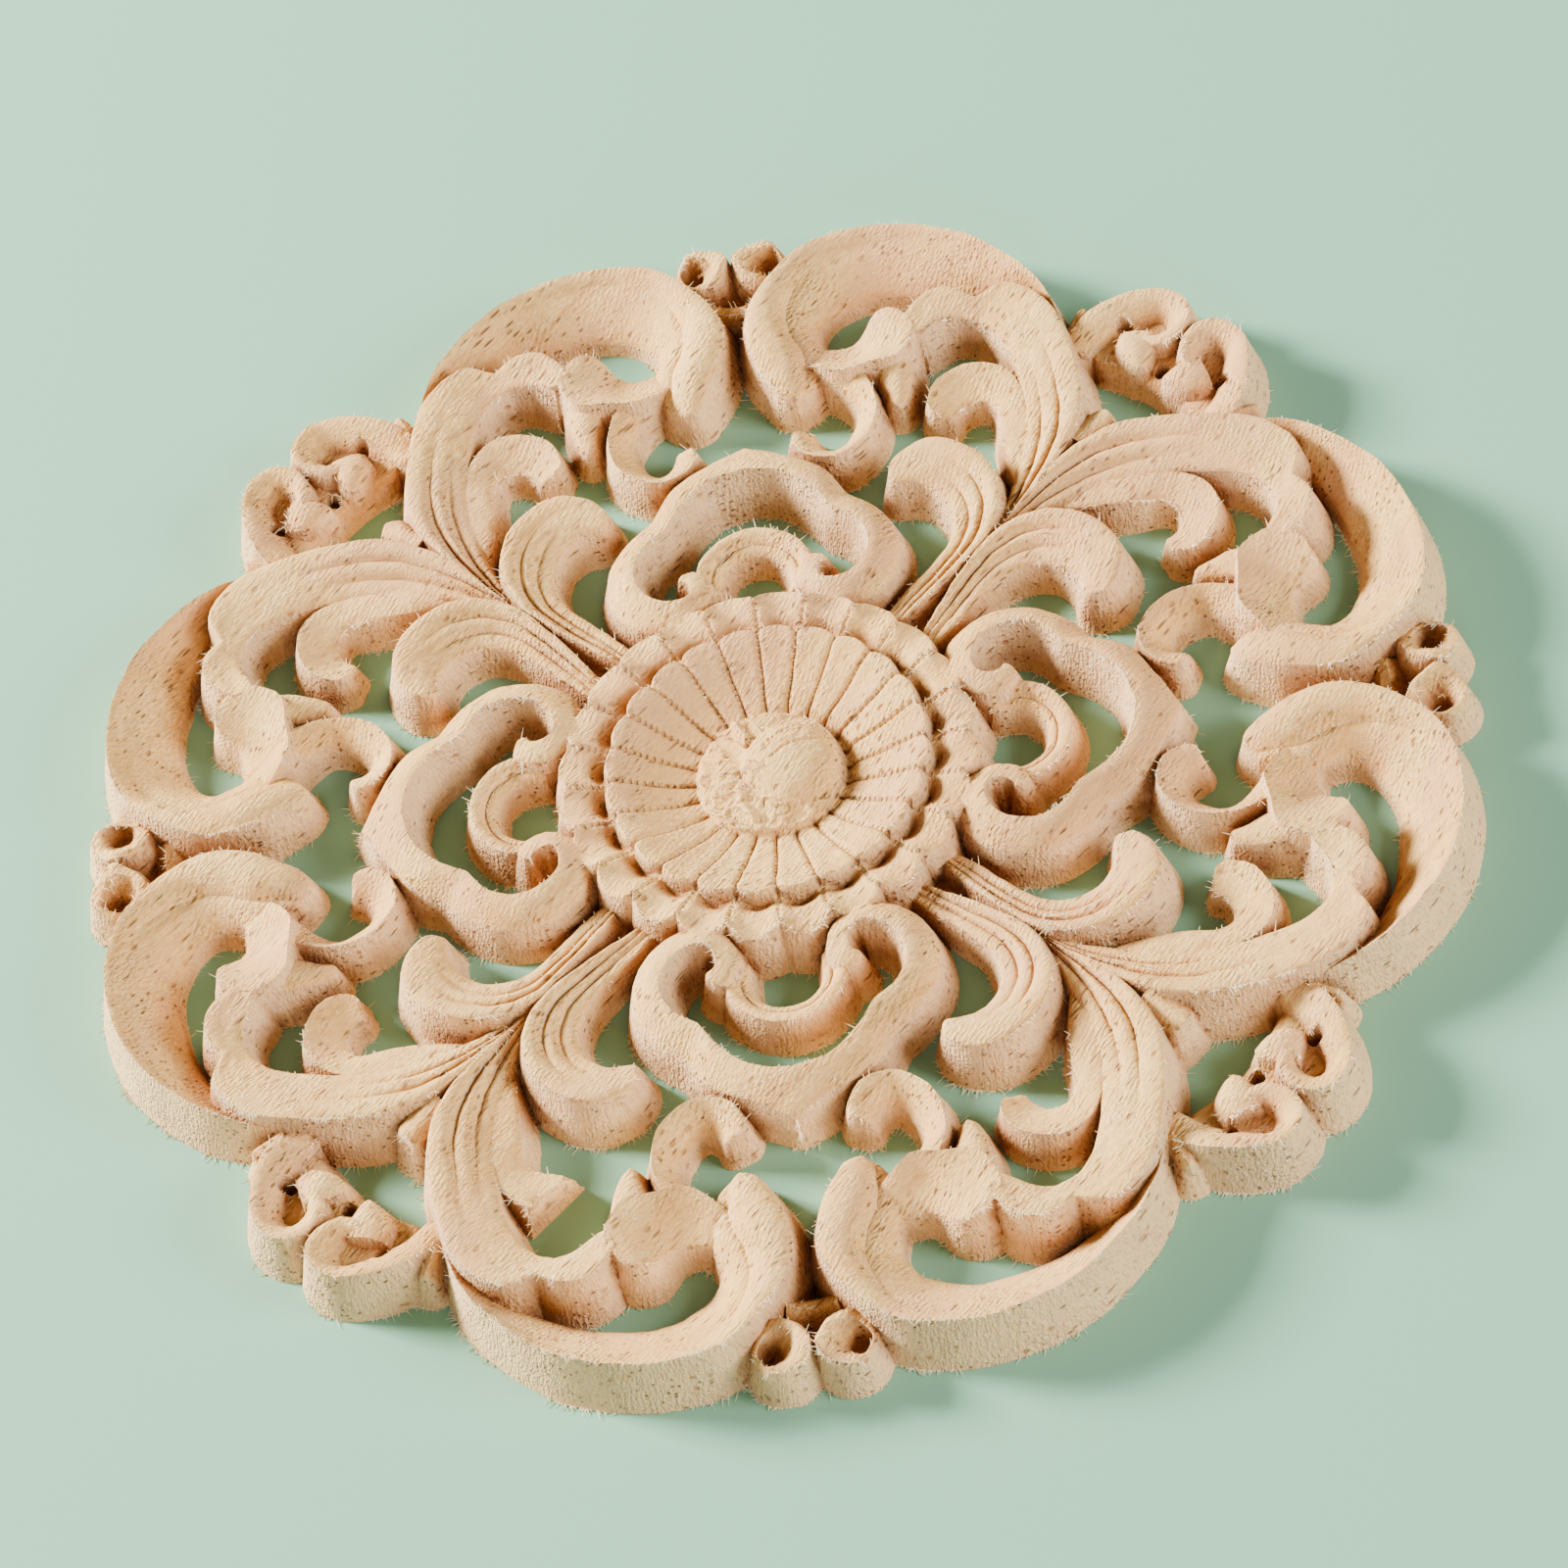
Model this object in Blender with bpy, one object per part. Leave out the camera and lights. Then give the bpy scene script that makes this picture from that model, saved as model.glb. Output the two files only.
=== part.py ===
"""Carved wooden rosette, one board, lying face up.

The back is flat and lies on z = 0, and the middle of the medallion is over the
origin. The pattern repeats eight times: one wedge between the +Y axis and the
diagonal is carved once, mirrored, and turned four times. Inside the wedge every
scroll, leaf and curl is a ribbon of wood with steep drafted sides.
All positions in the tables of a ribbon are millimetres on the finished piece.
"""
import math

import bmesh
import bpy
from mathutils import Matrix, Vector

for old in list(bpy.data.objects):
    bpy.data.objects.remove(old, do_unlink=True)

MM = 0.001
DRAFT = math.tan(math.radians(15.0))     # lean of the cut sides
LOBES = 24                               # petals round the medallion
RIM_BASE = 31.7                          # medallion radius at the back
RIM_CREST = 28.9                         # radius of its scalloped crest
DISH_RIM = 22.2                          # radius of the raised inner ring
BOSS = 10.4                              # radius of the rough middle boss
TOP = 9.2                                # height of the crests

# One ribbon is a list of rungs: edge point, edge point, and the heights of the
# first edge, the middle and the second edge. The sides run down to the back
# from both edges, leaning outwards.
SCROLL = [
    ((47.0, 70.0), (49.2, 70.5), (6.0, 6.2, 6.5)),
    ((43.6, 77.8), (46.4, 78.6), (6.0, 6.8, 8.5)),
    ((38.6, 82.4), (42.4, 84.6), (5.5, 6.4, 9.0)),
    ((31.8, 86.7), (34.4, 91.5), (5.2, 6.2, TOP)),
    ((22.0, 88.4), (23.0, 95.1), (5.2, 6.2, TOP)),
    ((15.0, 86.6), (12.0, 93.7), (5.0, 6.2, TOP)),
    ((11.6, 82.8), (5.2, 87.6), (5.0, 6.5, TOP)),
    ((12.0, 78.6), (1.7, 80.8), (5.0, 6.9, 9.0)),
    ((13.0, 74.5), (2.5, 74.4), (5.2, 7.0, 8.6)),
    ((11.8, 70.2), (4.8, 69.4), (5.6, 6.8, 7.4)),
    ((10.5, 66.8), (6.5, 65.8), (5.2, 5.5, 5.2)),
]
HOOK = [
    ((26.4, 78.6), (27.4, 74.0), (8.4, 7.8, 8.6)),
    ((23.4, 80.6), (23.4, 70.2), (7.6, 7.2, 9.0)),
    ((19.9, 78.8), (19.4, 68.6), (5.6, 6.8, 9.0)),
    ((16.6, 75.2), (15.2, 68.7), (4.8, 6.2, 8.8)),
    ((13.8, 75.6), (11.8, 70.6), (4.8, 6.0, 8.2)),
]
LEAF = [
    ((34.6, 33.9), (33.4, 34.4), (7.0, 7.0, 6.5)),
    ((40.8, 40.4), (37.2, 40.6), (8.2, 7.6, 6.4)),
    ((46.4, 46.8), (39.6, 47.0), (8.8, 7.8, 6.2)),
    ((49.6, 53.5), (41.2, 54.0), (TOP, 8.4, 6.3)),
    ((50.0, 61.0), (41.3, 61.0), (TOP, 8.4, 6.4)),
    ((48.8, 69.0), (40.3, 67.8), (TOP, 8.3, 6.8)),
    ((46.4, 75.6), (38.6, 72.2), (TOP, 8.2, 7.0)),
    ((41.0, 79.8), (35.4, 74.8), (TOP, 8.0, 7.2)),
    ((36.6, 79.4), (32.4, 75.7), (9.0, 8.0, 7.6)),
    ((31.6, 80.9), (29.4, 75.1), (9.0, 7.8, 8.0)),
    ((28.0, 79.4), (27.4, 73.8), (8.8, 7.6, 8.5)),
    ((26.2, 77.2), (26.2, 74.4), (8.4, 7.6, 8.4)),
]
CURL = [
    ((41.0, 50.0), (37.0, 47.5), (6.0, 5.8, 5.0)),
    ((41.4, 57.0), (37.8, 54.5), (6.0, 5.6, 5.0)),
    ((40.8, 62.8), (38.0, 59.3), (6.0, 5.6, 5.0)),
    ((38.0, 66.6), (36.6, 61.8), (6.0, 5.4, 5.0)),
    ((33.4, 67.3), (33.9, 62.0), (5.8, 5.2, 4.8)),
    ((29.2, 65.2), (31.9, 61.0), (5.5, 5.0, 4.6)),
    ((27.7, 61.6), (30.4, 59.7), (5.0, 4.6, 4.4)),
]
STUB = [
    ((41.0, 50.0), (37.0, 47.5), (6.0, 5.8, 5.0)),
    ((41.4, 57.0), (37.8, 54.5), (6.0, 5.6, 5.0)),
    ((40.8, 62.8), (37.8, 59.3), (5.8, 5.2, 4.6)),
    ((38.8, 66.2), (35.2, 61.8), (4.8, 3.8, 3.0)),
]
LOBE = [
    ((27.2, 26.2), (19.4, 26.8), (6.0, 5.6, 5.2)),
    ((30.6, 30.2), (24.4, 30.6), (7.0, 6.2, 5.4)),
    ((34.4, 34.8), (28.2, 35.6), (7.8, 6.8, 5.4)),
    ((36.6, 40.5), (29.4, 40.2), (8.6, 7.0, 5.6)),
    ((35.8, 46.0), (28.0, 44.2), (9.0, 7.4, 6.0)),
    ((32.6, 50.5), (25.4, 46.4), (9.0, 7.8, 6.6)),
    ((27.6, 52.6), (23.4, 46.9), (9.0, 8.0, 7.0)),
    ((23.2, 51.0), (21.8, 48.0), (8.2, 7.6, 7.0)),
]
SHOE = [
    ((-5.3, 55.7), (-5.2, 51.1), (7.0, 8.2, TOP)),
    ((0.0, 58.6), (0.0, 52.3), (6.0, 8.0, TOP)),
    ((5.3, 55.7), (5.2, 51.1), (7.0, 8.2, TOP)),
    ((11.2, 52.4), (9.6, 47.3), (6.4, 8.0, TOP)),
    ((14.4, 47.2), (12.2, 43.2), (6.2, 7.8, TOP)),
    ((18.3, 43.8), (15.6, 40.5), (6.2, 7.8, TOP)),
    ((21.3, 38.4), (17.2, 36.4), (6.2, 7.8, TOP)),
    ((20.6, 31.6), (16.0, 32.4), (6.2, 7.8, TOP)),
    ((16.2, 26.8), (13.2, 30.2), (6.6, 7.8, TOP)),
    ((10.0, 26.2), (10.2, 30.2), (7.4, 8.0, TOP)),
    ((6.4, 30.6), (9.2, 32.0), (7.4, 8.0, 8.6)),
    ((6.8, 34.6), (9.6, 33.8), (7.4, 8.0, 8.2)),
    ((9.0, 36.6), (11.2, 34.6), (7.2, 7.6, 7.8)),
]
ARCH = [
    ((-4.6, 41.7), (-3.0, 38.6), (6.6, 5.6, 4.4)),
    ((0.0, 43.1), (0.0, 39.4), (6.6, 5.6, 4.4)),
    ((4.6, 41.7), (3.0, 38.6), (6.6, 5.6, 4.4)),
    ((8.0, 37.8), (4.9, 35.8), (6.6, 5.6, 4.4)),
    ((8.4, 31.0), (5.0, 32.0), (6.6, 5.8, 4.6)),
]
CUP = [
    ((18.4, 69.2), (13.4, 69.4), (7.4, 6.6, 6.4)),
    ((20.0, 63.3), (16.8, 63.6), (6.8, 6.0, 5.2)),
    ((18.6, 57.5), (15.6, 59.3), (6.8, 6.0, 5.2)),
    ((13.9, 53.9), (13.2, 57.6), (7.0, 6.2, 5.4)),
    ((9.0, 54.9), (11.0, 58.4), (7.0, 6.2, 5.6)),
    ((7.0, 58.4), (10.0, 60.2), (6.0, 5.8, 5.6)),
]
TAIL = [
    ((23.8, 71.0), (19.0, 68.4), (7.2, 6.6, 6.4)),
    ((24.1, 66.8), (20.4, 65.4), (6.4, 6.0, 5.6)),
    ((24.3, 62.9), (22.0, 62.4), (5.2, 5.2, 5.0)),
]
BUD = [
    ((0.2, 90.2), (3.4, 90.6), (5.0, 4.4, 3.6)),
    ((0.4, 95.8), (3.4, 94.6), (6.2, 5.8, 4.0)),
    ((3.0, 98.5), (4.8, 96.2), (6.6, 6.2, 4.2)),
    ((7.0, 98.1), (6.4, 95.9), (6.6, 6.2, 4.2)),
    ((8.6, 95.2), (7.0, 94.2), (6.4, 6.0, 4.2)),
    ((6.6, 90.6), (5.6, 91.6), (5.6, 5.0, 4.0)),
]
STEM = [
    ((-3.0, 86.8), (3.4, 86.8), (3.2, 3.4, 3.2)),
    ((-4.6, 90.5), (6.6, 90.5), (3.4, 3.6, 3.4)),
    ((-5.0, 95.0), (6.6, 95.0), (3.2, 3.4, 3.2)),
]
FLEUR = [
    ((49.2, 70.4), (50.5, 66.7), (6.4, 6.2, 6.0)),
    ((52.4, 73.5), (54.2, 69.8), (8.0, 6.8, 5.8)),
    ((58.3, 75.0), (58.5, 71.6), (8.4, 7.0, 5.6)),
    ((64.4, 74.5), (62.8, 71.2), (8.4, 7.0, 5.6)),
    ((67.7, 71.3), (64.4, 69.2), (8.2, 7.0, 5.6)),
    ((66.8, 67.0), (63.8, 67.6), (8.0, 7.0, 6.0)),
    ((63.6, 65.6), (62.0, 67.4), (8.0, 7.4, 7.0)),
]
GROUND = [
    ((51.0, 70.6), (52.7, 65.6), (4.6, 4.6, 4.6)),
    ((57.0, 72.0), (57.4, 62.1), (4.8, 4.8, 4.8)),
    ((64.0, 72.6), (61.0, 58.9), (5.2, 5.2, 5.2)),
    ((69.6, 67.4), (62.0, 58.0), (5.4, 5.4, 5.4)),
]
TAB = [
    ((48.6, 71.6), (51.4, 71.0), (7.0, 7.0, 7.0)),
    ((50.6, 76.4), (53.6, 75.6), (6.6, 6.8, 6.6)),
]
PEG = [
    ((47.0, 50.0), (50.0, 47.0), (7.4, 7.8, 7.4)),
    ((51.6, 55.0), (55.0, 51.6), (7.2, 7.6, 7.2)),
]
POCKET = [
    ((18.0, 25.0), (25.0, 18.0), (2.2, 2.2, 2.2)),
    ((25.0, 31.0), (31.0, 25.0), (2.2, 2.2, 2.2)),
]


def feet(edges, others, heights):
    """Points on the back below an edge line, moved out by the draft.

    Where the line curls tightly the feet would cross each other, so there the
    side is cut steeper.
    """
    reach = [h * DRAFT for h in heights]
    outward = [(e - o).normalized() for e, o in zip(edges, others)]
    for _ in range(40):
        crossed = False
        for i in range(len(edges) - 1):
            along = edges[i + 1] - edges[i]
            low = edges[i] + outward[i] * reach[i]
            high = edges[i + 1] + outward[i + 1] * reach[i + 1]
            if (high - low).dot(along) < 0.3 * along.length_squared:
                reach[i] *= 0.85
                reach[i + 1] *= 0.85
                crossed = True
        if not crossed:
            break
    return [e + o * r for e, o, r in zip(edges, outward, reach)]


def ribbon(name, rungs):
    """A closed body along the rungs: back, two leaning sides and a top."""
    left = [Vector(a) for a, b, z in rungs]
    right = [Vector(b) for a, b, z in rungs]
    heights = [z for a, b, z in rungs]
    mids = [(a + b) / 2 for a, b in zip(left, right)]
    left_feet = feet(left, right, [z[0] for z in heights])
    right_feet = feet(right, left, [z[2] for z in heights])
    for end, near in ((0, 1), (-1, -2)):
        back = (mids[end] - mids[near]).normalized() * heights[end][1] * DRAFT
        left_feet[end] = left_feet[end] + back
        right_feet[end] = right_feet[end] + back
    bm = bmesh.new()
    last = None
    for i, (za, zm, zb) in enumerate(heights):
        ring = [
            (left_feet[i], 0.0), (left[i], za), (mids[i], zm), (right[i], zb), (right_feet[i], 0.0)
        ]
        verts = [bm.verts.new((p.x * MM, p.y * MM, z * MM)) for p, z in ring]
        if last:
            for k in range(5):
                n = (k + 1) % 5
                bm.faces.new((last[k], last[n], verts[n], verts[k]))
        else:
            bm.faces.new(verts)
        last = verts
    bm.faces.new(last[::-1])
    bmesh.ops.triangulate(bm, faces=bm.faces[:])
    bmesh.ops.recalc_face_normals(bm, faces=bm.faces[:])
    return finish(bm, name)


def finish(bm, name):
    """Put a built shape into an object of its own."""
    mesh = bpy.data.meshes.new(name)
    bm.to_mesh(mesh)
    bm.free()
    obj = bpy.data.objects.new(name, mesh)
    bpy.context.collection.objects.link(obj)
    return obj


def medallion(name):
    """Scalloped outer ring, raised inner ring with flutes, and a boss."""
    rings = [
        (RIM_BASE, 0.0, 0.9, 0.0),
        (RIM_CREST, 8.8, 0.9, 0.8),
        (DISH_RIM + 1.2, 6.4, 0.0, 0.7),
        (DISH_RIM, 8.6, 0.6, 0.5),
        (DISH_RIM - 4.0, 6.8, 0.0, 0.6),
        (BOSS, 4.6, 0.0, 0.3),
        (BOSS - 2.2, 7.0, 0.0, 0.0),
        (BOSS - 6.0, 8.6, 0.0, 0.0),
    ]
    bm = bmesh.new()
    count = LOBES * 2
    rows = []
    for radius, height, notch, groove in rings:
        row = []
        for k in range(count):
            angle = 2 * math.pi * k / count + math.pi / 2
            low = k % 2 == 0
            r = radius - (notch if low else -notch)
            z = height - (groove if low else 0.0)
            row.append(bm.verts.new((r * math.cos(angle) * MM, r * math.sin(angle) * MM, z * MM)))
        rows.append(row)
    for inner, outer in zip(rows[1:], rows[:-1]):
        for k in range(count):
            n = (k + 1) % count
            bm.faces.new((outer[k], outer[n], inner[n], inner[k]))
    tip = bm.verts.new((0.0, 0.0, 9.0 * MM))
    for k in range(count):
        bm.faces.new((rows[-1][k], rows[-1][(k + 1) % count], tip))
    bm.faces.new(rows[0][::-1])
    bmesh.ops.triangulate(bm, faces=bm.faces[:])
    bmesh.ops.recalc_face_normals(bm, faces=bm.faces[:])
    return finish(bm, name)


def joined(body, others):
    """The body and the others as one solid."""
    for other in others:
        union = body.modifiers.new(other.name, "BOOLEAN")
        union.operation = "UNION"
        union.solver = "EXACT"
        union.use_self = True
        union.object = other
    graph = bpy.context.evaluated_depsgraph_get()
    bm = bmesh.new()
    bm.from_object(body, graph)
    for gone in [body, *others]:
        bpy.data.objects.remove(gone, do_unlink=True)
    return bm


def wedge(broken):
    """One eighth of the pattern, cut along the axis and the diagonal."""
    parts = {
        "scroll": SCROLL, "hook": HOOK, "leaf": LEAF, "lobe": LOBE, "shoe": SHOE,
        "arch": ARCH, "cup": CUP, "tail": TAIL, "bud": BUD, "stem": STEM,
        "fleur": FLEUR, "ground": GROUND, "tab": TAB, "peg": PEG, "pocket": POCKET,
    }
    parts["curl"] = STUB if broken else CURL
    ribbons = [ribbon(name, rungs) for name, rungs in parts.items()]
    bm = joined(medallion("medallion"), ribbons)
    for normal in ((-1.0, 0.0, 0.0), (1.0, -1.0, 0.0)):
        everything = bm.verts[:] + bm.edges[:] + bm.faces[:]
        bmesh.ops.bisect_plane(
            bm, geom=everything, dist=1e-7, plane_co=(0, 0, 0), plane_no=normal, clear_outer=True
        )
    mesh = bpy.data.meshes.new("wedge")
    bm.to_mesh(mesh)
    bm.free()
    return mesh


def rosette():
    """Eight wedges welded along their cuts."""
    whole = wedge(False)
    chipped = wedge(True)
    swap = Matrix(((0, 1, 0, 0), (1, 0, 0, 0), (0, 0, 1, 0), (0, 0, 0, 1)))
    bm = bmesh.new()
    for quarter in range(4):
        turn = Matrix.Rotation(math.radians(90.0 * quarter), 4, "Z")
        for mirrored in (False, True):
            source = chipped if quarter == 2 and not mirrored else whole
            start = len(bm.verts)
            bm.from_mesh(source)
            bm.verts.ensure_lookup_table()
            fresh = bm.verts[start:]
            move = turn @ swap if mirrored else turn
            bmesh.ops.transform(bm, matrix=move, verts=fresh)
    bmesh.ops.remove_doubles(bm, verts=bm.verts[:], dist=2e-6)
    bmesh.ops.dissolve_limit(
        bm, angle_limit=math.radians(3.0), verts=bm.verts[:], edges=bm.edges[:]
    )
    bmesh.ops.triangulate(bm, faces=bm.faces[:])
    bmesh.ops.recalc_face_normals(bm, faces=bm.faces[:])
    return finish(bm, "rosette")


body = rosette()
wood = bpy.data.materials.new("raw_wood")
wood.use_nodes = True
shader = wood.node_tree.nodes["Principled BSDF"]
shader.inputs["Base Color"].default_value = (0.78, 0.57, 0.38, 1.0)
shader.inputs["Roughness"].default_value = 0.75
body.data.materials.append(wood)
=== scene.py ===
# %% [markdown]
# A carved wooden rosette, cut by a router from one board of rubberwood and left raw.
# The lesson dresses the plain solid with the carving that a cutter leaves: coves, creases,
# flutes and frayed edges. Everything is set out in millimetres around the middle of the
# medallion, and the height and width come from the solid itself.

import math
import random

import bmesh
import bpy
import numpy as np
from mathutils import Matrix, Quaternion, Vector, noise
from mathutils.bvhtree import BVHTree


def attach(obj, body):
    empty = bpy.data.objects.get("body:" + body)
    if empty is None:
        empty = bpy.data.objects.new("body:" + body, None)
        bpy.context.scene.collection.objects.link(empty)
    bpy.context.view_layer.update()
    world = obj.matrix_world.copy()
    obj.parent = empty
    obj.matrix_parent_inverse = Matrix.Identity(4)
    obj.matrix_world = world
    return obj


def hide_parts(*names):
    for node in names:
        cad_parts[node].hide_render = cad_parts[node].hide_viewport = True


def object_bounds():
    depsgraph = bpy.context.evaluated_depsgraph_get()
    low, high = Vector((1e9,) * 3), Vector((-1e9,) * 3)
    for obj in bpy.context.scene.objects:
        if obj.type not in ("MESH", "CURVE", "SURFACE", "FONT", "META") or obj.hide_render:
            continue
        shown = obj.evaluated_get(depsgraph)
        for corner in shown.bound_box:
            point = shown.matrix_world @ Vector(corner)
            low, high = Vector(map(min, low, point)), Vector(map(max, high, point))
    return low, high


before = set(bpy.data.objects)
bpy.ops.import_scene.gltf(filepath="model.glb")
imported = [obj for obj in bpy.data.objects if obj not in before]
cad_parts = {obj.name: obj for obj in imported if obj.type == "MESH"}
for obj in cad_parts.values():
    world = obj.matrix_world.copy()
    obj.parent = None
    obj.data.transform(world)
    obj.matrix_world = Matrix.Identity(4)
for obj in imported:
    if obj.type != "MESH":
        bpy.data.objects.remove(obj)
cad_low, cad_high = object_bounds()
MM = 0.001
WIDE = (cad_high.x - cad_low.x) / MM
TOP = (cad_high.z - cad_low.z) / MM
LEAN = math.tan(math.radians(15.0))  # the cutter leaves every side leaning by this much
noise.seed_set(7)  # without a seed, the noise of vectors goes by the clock
print(f"the solid is {WIDE:.1f} mm wide and {TOP:.1f} mm thick")

# %% [markdown]
# The pattern repeats eight times, so only one wedge is drawn: from the upright axis to the
# diagonal. In it each scroll, leaf and curl is a stroke, a strip of wood that bends as it
# goes. A stroke is a list of rungs. A rung is the point on its first edge, the point on its
# second edge, and the heights of the first edge, the middle and the second edge. Smooth
# curves through the rungs give the flowing outline, and a rung listed as a corner stops the
# curve there, which leaves the small notches that part one scallop from the next. A crease
# has a reach, and at some rungs a place across and a depth. A swell raises the strip beside
# it. A tip is the radius of a round end, blunt edges are worn, and a ragged end is torn.

# %% The strokes of the big C scroll and of the hood that closes it
STROKES = {}
STROKES["scroll"] = dict(rungs=[
    ((47, 70), (49.2, 70.5), (6, 6.2, 6.5)),
    ((43.4, 77.4), (46.4, 78.6), (4.8, 6.4, 8.5)),
    ((38.2, 81.4), (42.4, 84.6), (3.2, 5.7, 9)),
    ((31.4, 84.6), (34.4, 91.5), (2.5, 5.9, TOP)),
    ((22, 86.3), (23, 95.1), (2.4, 6.1, TOP)),
    ((15.4, 84.3), (12, 93.7), (2.4, 6.2, TOP)),
    ((12.4, 81), (5.2, 87.6), (2.8, 6.8, 9.1)),
    ((12.4, 77.8), (1.7, 80.8), (3.8, 7.8, 8.6)),
    ((13, 74.5), (2.5, 74.4), (4.8, 8.2, 8.4)),
    ((11.8, 70.2), (4.8, 69.4), (5.6, 7.6, 7.4)),
    ((10.5, 66.8), (6.5, 65.8), (5.4, 6.2, 6)),
], creases=[
    (0.9, [(1.0, 0.80, 0.1), (3.0, 0.80, 0.3), (5.0, 0.74, 0.45), (6.0, 0.56, 0.75),
           (7.0, 0.40, 0.9), (8.0, 0.30, 0.9), (9.0, 0.24, 0.7), (10.0, 0.16, 0.3)]),
], swells=[
    (1, [(5.0, 0.0), (6.0, 0.35), (7.0, 0.5), (8.5, 0.5), (10.0, 0.2)]),
], tip=2.2)
STROKES["hook"] = dict(rungs=[
    ((26.2, 76.6), (26.8, 74), (8.6, 8.8, 8.8)),
    ((25.2, 77.8), (25.9, 72), (8.8, 8.6, 9)),
    ((23.2, 79.2), (23.8, 69.4), (8.6, 7.9, 9.1)),
    ((20.6, 79), (20, 69), (7.2, 6.7, 9.1)),
    ((18.4, 76.6), (17.2, 68.6), (5.2, 6, 9)),
    ((16, 75.6), (14.8, 68.6), (4.8, 6, 8.8)),
    ((13, 76), (11.6, 70.8), (4.7, 5.9, 7.4)),
    ((10.4, 76.4), (9.4, 72.6), (4, 5, 6)),
])
print(len(STROKES), "strokes so far")

# %% [markdown]
# The long leaf has two creases that fade out where it broadens, and swells between them, so
# it reads as three ribs. The thin curl and its broken twin start with the same rungs, and the
# twin ends early in a ragged break.

# %% The strokes of the long leaf, its thin curl and the short lobe beside it
STROKES["leaf"] = dict(rungs=[
    ((34.6, 33.9), (33.4, 34.4), (7, 7, 6.5)),
    ((40.8, 40.4), (37.2, 40.6), (8.2, 7.9, 6.4)),
    ((46.4, 46.8), (39.6, 47), (8.8, 8.2, 6.2)),
    ((49.6, 53.5), (41.2, 54), (TOP, 8.5, 6.3)),
    ((50, 61), (41.3, 61), (TOP, 8.5, 6.4)),
    ((48.8, 69), (40.3, 67.8), (TOP, 8.4, 6.8)),
    ((46.4, 75.6), (38.8, 72), (TOP, 8.4, 7)),
    ((41.2, 79.9), (36.6, 74.6), (9.1, 8, 7)),
    ((36.3, 78.6), (33.8, 75.9), (8.3, 7.8, 7.3)),
    ((32.6, 80.8), (31.2, 75.8), (9.1, 8.3, 7.8)),
    ((28.8, 80.4), (28.8, 74.6), (9.1, 8.4, 8.3)),
    ((26.2, 77.8), (27, 73.8), (9, 8.6, 8.8)),
    ((25.3, 76.2), (26, 74.2), (8.8, 8.7, 8.8)),
], creases=[
    (0.9, [(0.0, 0.34, 0.6), (1.0, 0.34, 1.3), (2.5, 0.36, 1.2), (4.0, 0.40, 0.6),
           (5.2, 0.44, 0.0)]),
    (0.9, [(0.0, 0.64, 0.6), (1.0, 0.64, 1.4), (2.5, 0.68, 1.2), (3.8, 0.72, 0.5),
           (4.8, 0.74, 0.0)]),
], swells=[
    (0, [(0.5, 0.3), (3.0, 0.3), (5.0, 0.1)]), (1, [(0.5, 0.3), (3.0, 0.25), (5.0, 0.0)]),
], corners=[8])
CURL_ROOT = [
    ((41, 42), (38.9, 42.4), (4.6, 5, 5)),
    ((42, 49), (38, 48.2), (6.2, 6.2, 5.8)),
    ((42, 56.6), (37.7, 54.6), (6.5, 6.3, 5.9)),
]
STROKES["curl"] = dict(rungs=CURL_ROOT + [
    ((41, 62.8), (37.7, 59.3), (6.6, 5.9, 5.2)),
    ((38, 66.6), (36.3, 61.6), (6.8, 5.6, 4.6)),
    ((33.4, 67.4), (33.7, 61.8), (6.8, 5.2, 4.2)),
    ((28.8, 65.2), (31.7, 60.6), (6.6, 5, 4.2)),
    ((27, 60.8), (30.6, 58.8), (6, 5, 4.6)),
], tip=1.7)
STROKES["stub"] = dict(rungs=CURL_ROOT + [
    ((41, 62.8), (37.4, 59.6), (6.2, 5.6, 5)),
    ((37.6, 66.4), (32.2, 61.6), (6, 5, 4.6)),
], ragged=1.8)
STROKES["lobe"] = dict(rungs=[
    ((20.6, 23.2), (17.6, 24.4), (5, 4.8, 4.4)),
    ((26.2, 27.4), (21.2, 28.2), (6.4, 5.8, 5)),
    ((30.6, 31), (24.8, 31.6), (7.2, 6.5, 5.3)),
    ((34.4, 34.8), (28.2, 35.6), (7.8, 7.1, 5.4)),
    ((36.6, 40.5), (29.4, 40.2), (8.6, 7.6, 5.6)),
    ((35.8, 46), (28, 44.2), (9, 8, 6)),
    ((32.6, 50.5), (25.4, 46.4), (9, 8.3, 6.6)),
    ((27.4, 53), (23.4, 46.9), (8.8, 8.2, 7)),
    ((21.6, 51.6), (20.4, 47), (7.6, 7.6, 7)),
], creases=[
    (0.85, [(0.0, 0.30, 0.3), (1.5, 0.32, 1.1), (3.5, 0.34, 1.2), (5.0, 0.38, 0.6),
            (6.2, 0.42, 0.0)]),
    (0.85, [(0.0, 0.60, 0.3), (1.5, 0.62, 1.1), (3.5, 0.66, 1.2), (5.2, 0.70, 0.6),
            (6.4, 0.72, 0.0)]),
], swells=[
    (0, [(0.5, 0.2), (4.5, 0.3), (6.0, 0.1)]), (1, [(0.5, 0.2), (4.5, 0.25), (6.0, 0.0)]),
], tip=2.1)
print(len(STROKES), "strokes so far")

# %% [markdown]
# The horseshoe and its arch begin on the far side of the axis, so that the cut along the axis
# leaves a clean face. The cup and the tail fill the space between the scroll and the leaf.

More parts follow.
